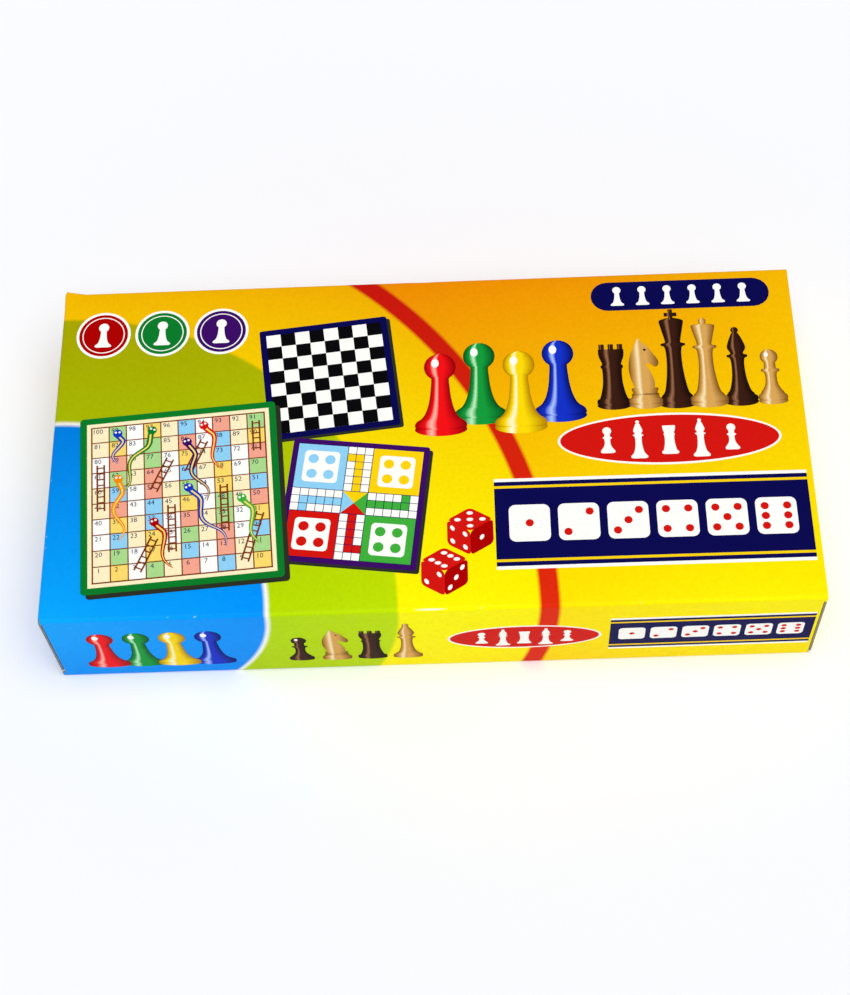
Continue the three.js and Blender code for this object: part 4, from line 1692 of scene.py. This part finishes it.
class GAMESET_OT_sleeve(bpy.types.Operator):
    """Fold the printed sleeve of the carton"""

    bl_idname = "gameset.sleeve"
    bl_label = "Carton sleeve"

    def execute(self, context):
        make_sleeve(context.scene.gameset_carton, [printed_board(), grey_board(), cut_edge()])
        return {"FINISHED"}


class GAMESET_OT_ends(bpy.types.Operator):
    """Fold the closure panels, tuck tongues and dust flaps of both ends"""

    bl_idname = "gameset.ends"
    bl_label = "Tuck ends"

    def execute(self, context):
        of_sleeve = ("varnished_offset_print_fields", "uncoated_duplex_board", "die_cut_board_edge")
        materials = [bpy.data.materials[name] for name in of_sleeve] + [white_board()]
        for side in ("left", "right"):
            make_end(side, context.scene.gameset_carton, materials)
        return {"FINISHED"}


class GAMESET_OT_cover_print(bpy.types.Operator):
    """Print the game pictures on the top of the carton"""

    bl_idname = "gameset.cover_print"
    bl_label = "Cover print"

    def execute(self, context):
        surface = on_top(context.scene.gameset_carton)
        boards = Drawing()
        draw_board_picture(boards, draw_chessboard, place=(118, 112), turn=6, side=56, frame_ink="navy")
        draw_board_picture(boards, draw_ludo, place=(129, 50), turn=-7, side=58, frame_ink="purple")
        draw_board_picture(
            boards, draw_snakes_and_ladders, place=(56, 56), turn=4, side=84, frame_ink="green", first_layer=7
        )
        boards.lay_bowed("cover_board_pictures", surface)

        badges = Drawing()
        draw_badges(badges, first=(18.5, 138), pitch=26, radius=12)
        draw_dice_band(badges, level=38, length=130, height=42, tile=17)
        draw_oval(badges, place=(262, 76), half_length=47, half_height=12.5, men_scale=0.42)
        draw_solid_die(badges, place=(166, 17), side=11, counts=(2, 3, 6))
        draw_solid_die(badges, place=(177, 35), side=11, counts=(4, 1, 5))
        draw_token_strip(badges, place=(272, 149), size=(78, 15), pitch=11, tall=10)
        badges.lay_bowed("cover_band_and_badges", surface)

        pieces = Drawing()
        draw_tokens(pieces, foot=(166, 84), pitch=17, tall=38, stagger=5)
        ranks = ["rook", "knight", "king", "queen", "bishop", "pawn"]
        draw_men(pieces, foot=(240, 93), pitch=13.5, scale=0.86, ranks=ranks)
        pieces.lay_bowed("cover_piece_pictures", surface)
        return {"FINISHED"}


class GAMESET_OT_side_print(bpy.types.Operator):
    """Print the pictures on the front, the back and both ends of the carton"""

    bl_idname = "gameset.side_print"
    bl_label = "Side print"

    def execute(self, context):
        for name, hand in (("front", -1), ("back", 1)):
            side = Drawing()
            draw_tokens(side, foot=(22, 11), pitch=15, tall=31)
            draw_men(side, foot=(104, 11), pitch=15, scale=0.74, ranks=["pawn", "knight", "rook", "bishop"])
            draw_oval(side, place=(198, 27), half_length=32, half_height=11, men_scale=0.36)
            draw_dice_band(side, level=27, length=84, height=30, tile=11)
            side.lay_bowed(f"{name}_print", on_side(context.scene.gameset_carton, hand))
        for name, hand in (("left", -1), ("right", 1)):
            end = Drawing()
            draw_badges(end, first=(45.5, 28), pitch=35, radius=14)
            end.lay(f"{name}_end_print", f"{name}_closure_panel", on_end(hand), "printed_carton_board")
        return {"FINISHED"}


class GAMESET_OT_boards(bpy.types.Operator):
    """Cover and print the two folded boards"""

    bl_idname = "gameset.boards"
    bl_label = "Folding boards"

    def execute(self, context):
        paper = wrapped_board()
        parts = {"lower_leaf": paper, "upper_leaf": paper, "hinge_tape": book_cloth()}
        for board in ("ludo_snakes_board", "chess_board"):
            for part, material in parts.items():
                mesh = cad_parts[f"{board}_{part}"].data
                mesh.materials.clear()
                mesh.materials.append(material)
        print_board(
            "snakes_and_ladders", "ludo_snakes_board", spine=1, draw=draw_snakes_and_ladders, side=264,
            frame_ink="green", outer=True,
        )
        print_board(
            "ludo", "ludo_snakes_board", spine=1, draw=draw_ludo, side=290, frame_ink="purple", outer=False
        )
        print_board(
            "chess", "chess_board", spine=-1, draw=draw_chessboard, side=290, frame_ink="navy", outer=False
        )
        return {"FINISHED"}


class GAMESET_OT_tokens(bpy.types.Operator):
    """Mould the sixteen ludo tokens"""

    bl_idname = "gameset.tokens"
    bl_label = "Ludo tokens"

    def execute(self, context):
        for colour in ("red", "green", "yellow", "blue"):
            plastic = moulded_plastic(colour)
            for i in range(1, 5):
                stand_token(f"token_{colour}_{i}", plastic)
        return {"FINISHED"}


class GAMESET_OT_dice(bpy.types.Operator):
    """Mould the two dice and drill their pips"""

    bl_idname = "gameset.dice"
    bl_label = "Dice"

    def execute(self, context):
        plastic = moulded_plastic("dice")
        paint = pip_paint()
        for node in ("die_1", "die_2"):
            make_die(node, plastic, paint)
        return {"FINISHED"}


class GAMESET_OT_chessmen(bpy.types.Operator):
    """Mould the two armies of chessmen"""

    bl_idname = "gameset.chessmen"
    bl_label = "Chessmen"

    def execute(self, context):
        for army, towards, colour in (("white", 1, "cream"), ("black", -1, "black")):
            plastic = moulded_plastic(colour)
            for rank in ("king", "queen"):
                lay_man(f"{army}_{rank}", rank, towards, plastic)
            for rank in ("bishop", "knight", "rook"):
                for i in (1, 2):
                    lay_man(f"{army}_{rank}_{i}", rank, towards, plastic)
            for i in range(1, 5):
                lay_pawns(f"{army}_pawn_pair_{i}", plastic)
        return {"FINISHED"}


class GAMESET_OT_stage(bpy.types.Operator):
    """Set the floor, the soft light and the camera"""

    bl_idname = "gameset.stage"
    bl_label = "Stage"

    def execute(self, context):
        stage = context.scene.gameset_stage
        make_floor(tuple(stage.floor_colour))
        make_key_light(stage.key_strength, stage.key_width)
        make_world()
        make_camera(stage.lens)
        context.scene.view_settings.view_transform = "Standard"
        return {"FINISHED"}


OPERATORS = [
    GAMESET_OT_sleeve,
    GAMESET_OT_ends,
    GAMESET_OT_cover_print,
    GAMESET_OT_side_print,
    GAMESET_OT_boards,
    GAMESET_OT_tokens,
    GAMESET_OT_dice,
    GAMESET_OT_chessmen,
    GAMESET_OT_stage,
]


class GAMESET_PT_panel(bpy.types.Panel):
    """Lists the pieces of the set in the order they are made"""

    bl_idname = "GAMESET_PT_panel"
    bl_label = "Game Set"
    bl_space_type = "VIEW_3D"
    bl_region_type = "UI"
    bl_category = "Game Set"

    def draw(self, context):
        for operator in OPERATORS:
            self.layout.operator(operator.bl_idname)


SETTINGS = {
    "gameset_carton": CartonSizes,
    "gameset_inks": PrintInks,
    "gameset_pieces": PieceColours,
    "gameset_stage": StageSettings,
}


def register():
    """Registers the settings, the operators and the panel."""
    for name, group in SETTINGS.items():
        bpy.utils.register_class(group)
        setattr(bpy.types.Scene, name, PointerProperty(type=group))
    for operator in OPERATORS:
        bpy.utils.register_class(operator)
    bpy.utils.register_class(GAMESET_PT_panel)


def unregister():
    """Takes the panel, the operators and the settings out again."""
    bpy.utils.unregister_class(GAMESET_PT_panel)
    for operator in reversed(OPERATORS):
        bpy.utils.unregister_class(operator)
    for name, group in SETTINGS.items():
        delattr(bpy.types.Scene, name)
        bpy.utils.unregister_class(group)


def main():
    """Makes the set piece by piece, then the stage."""
    register()
    bpy.ops.gameset.sleeve()
    bpy.ops.gameset.ends()
    bpy.ops.gameset.cover_print()
    bpy.ops.gameset.side_print()
    bpy.ops.gameset.boards()
    bpy.ops.gameset.tokens()
    bpy.ops.gameset.dice()
    bpy.ops.gameset.chessmen()
    bpy.ops.gameset.stage()


if __name__ == "__main__":
    main()
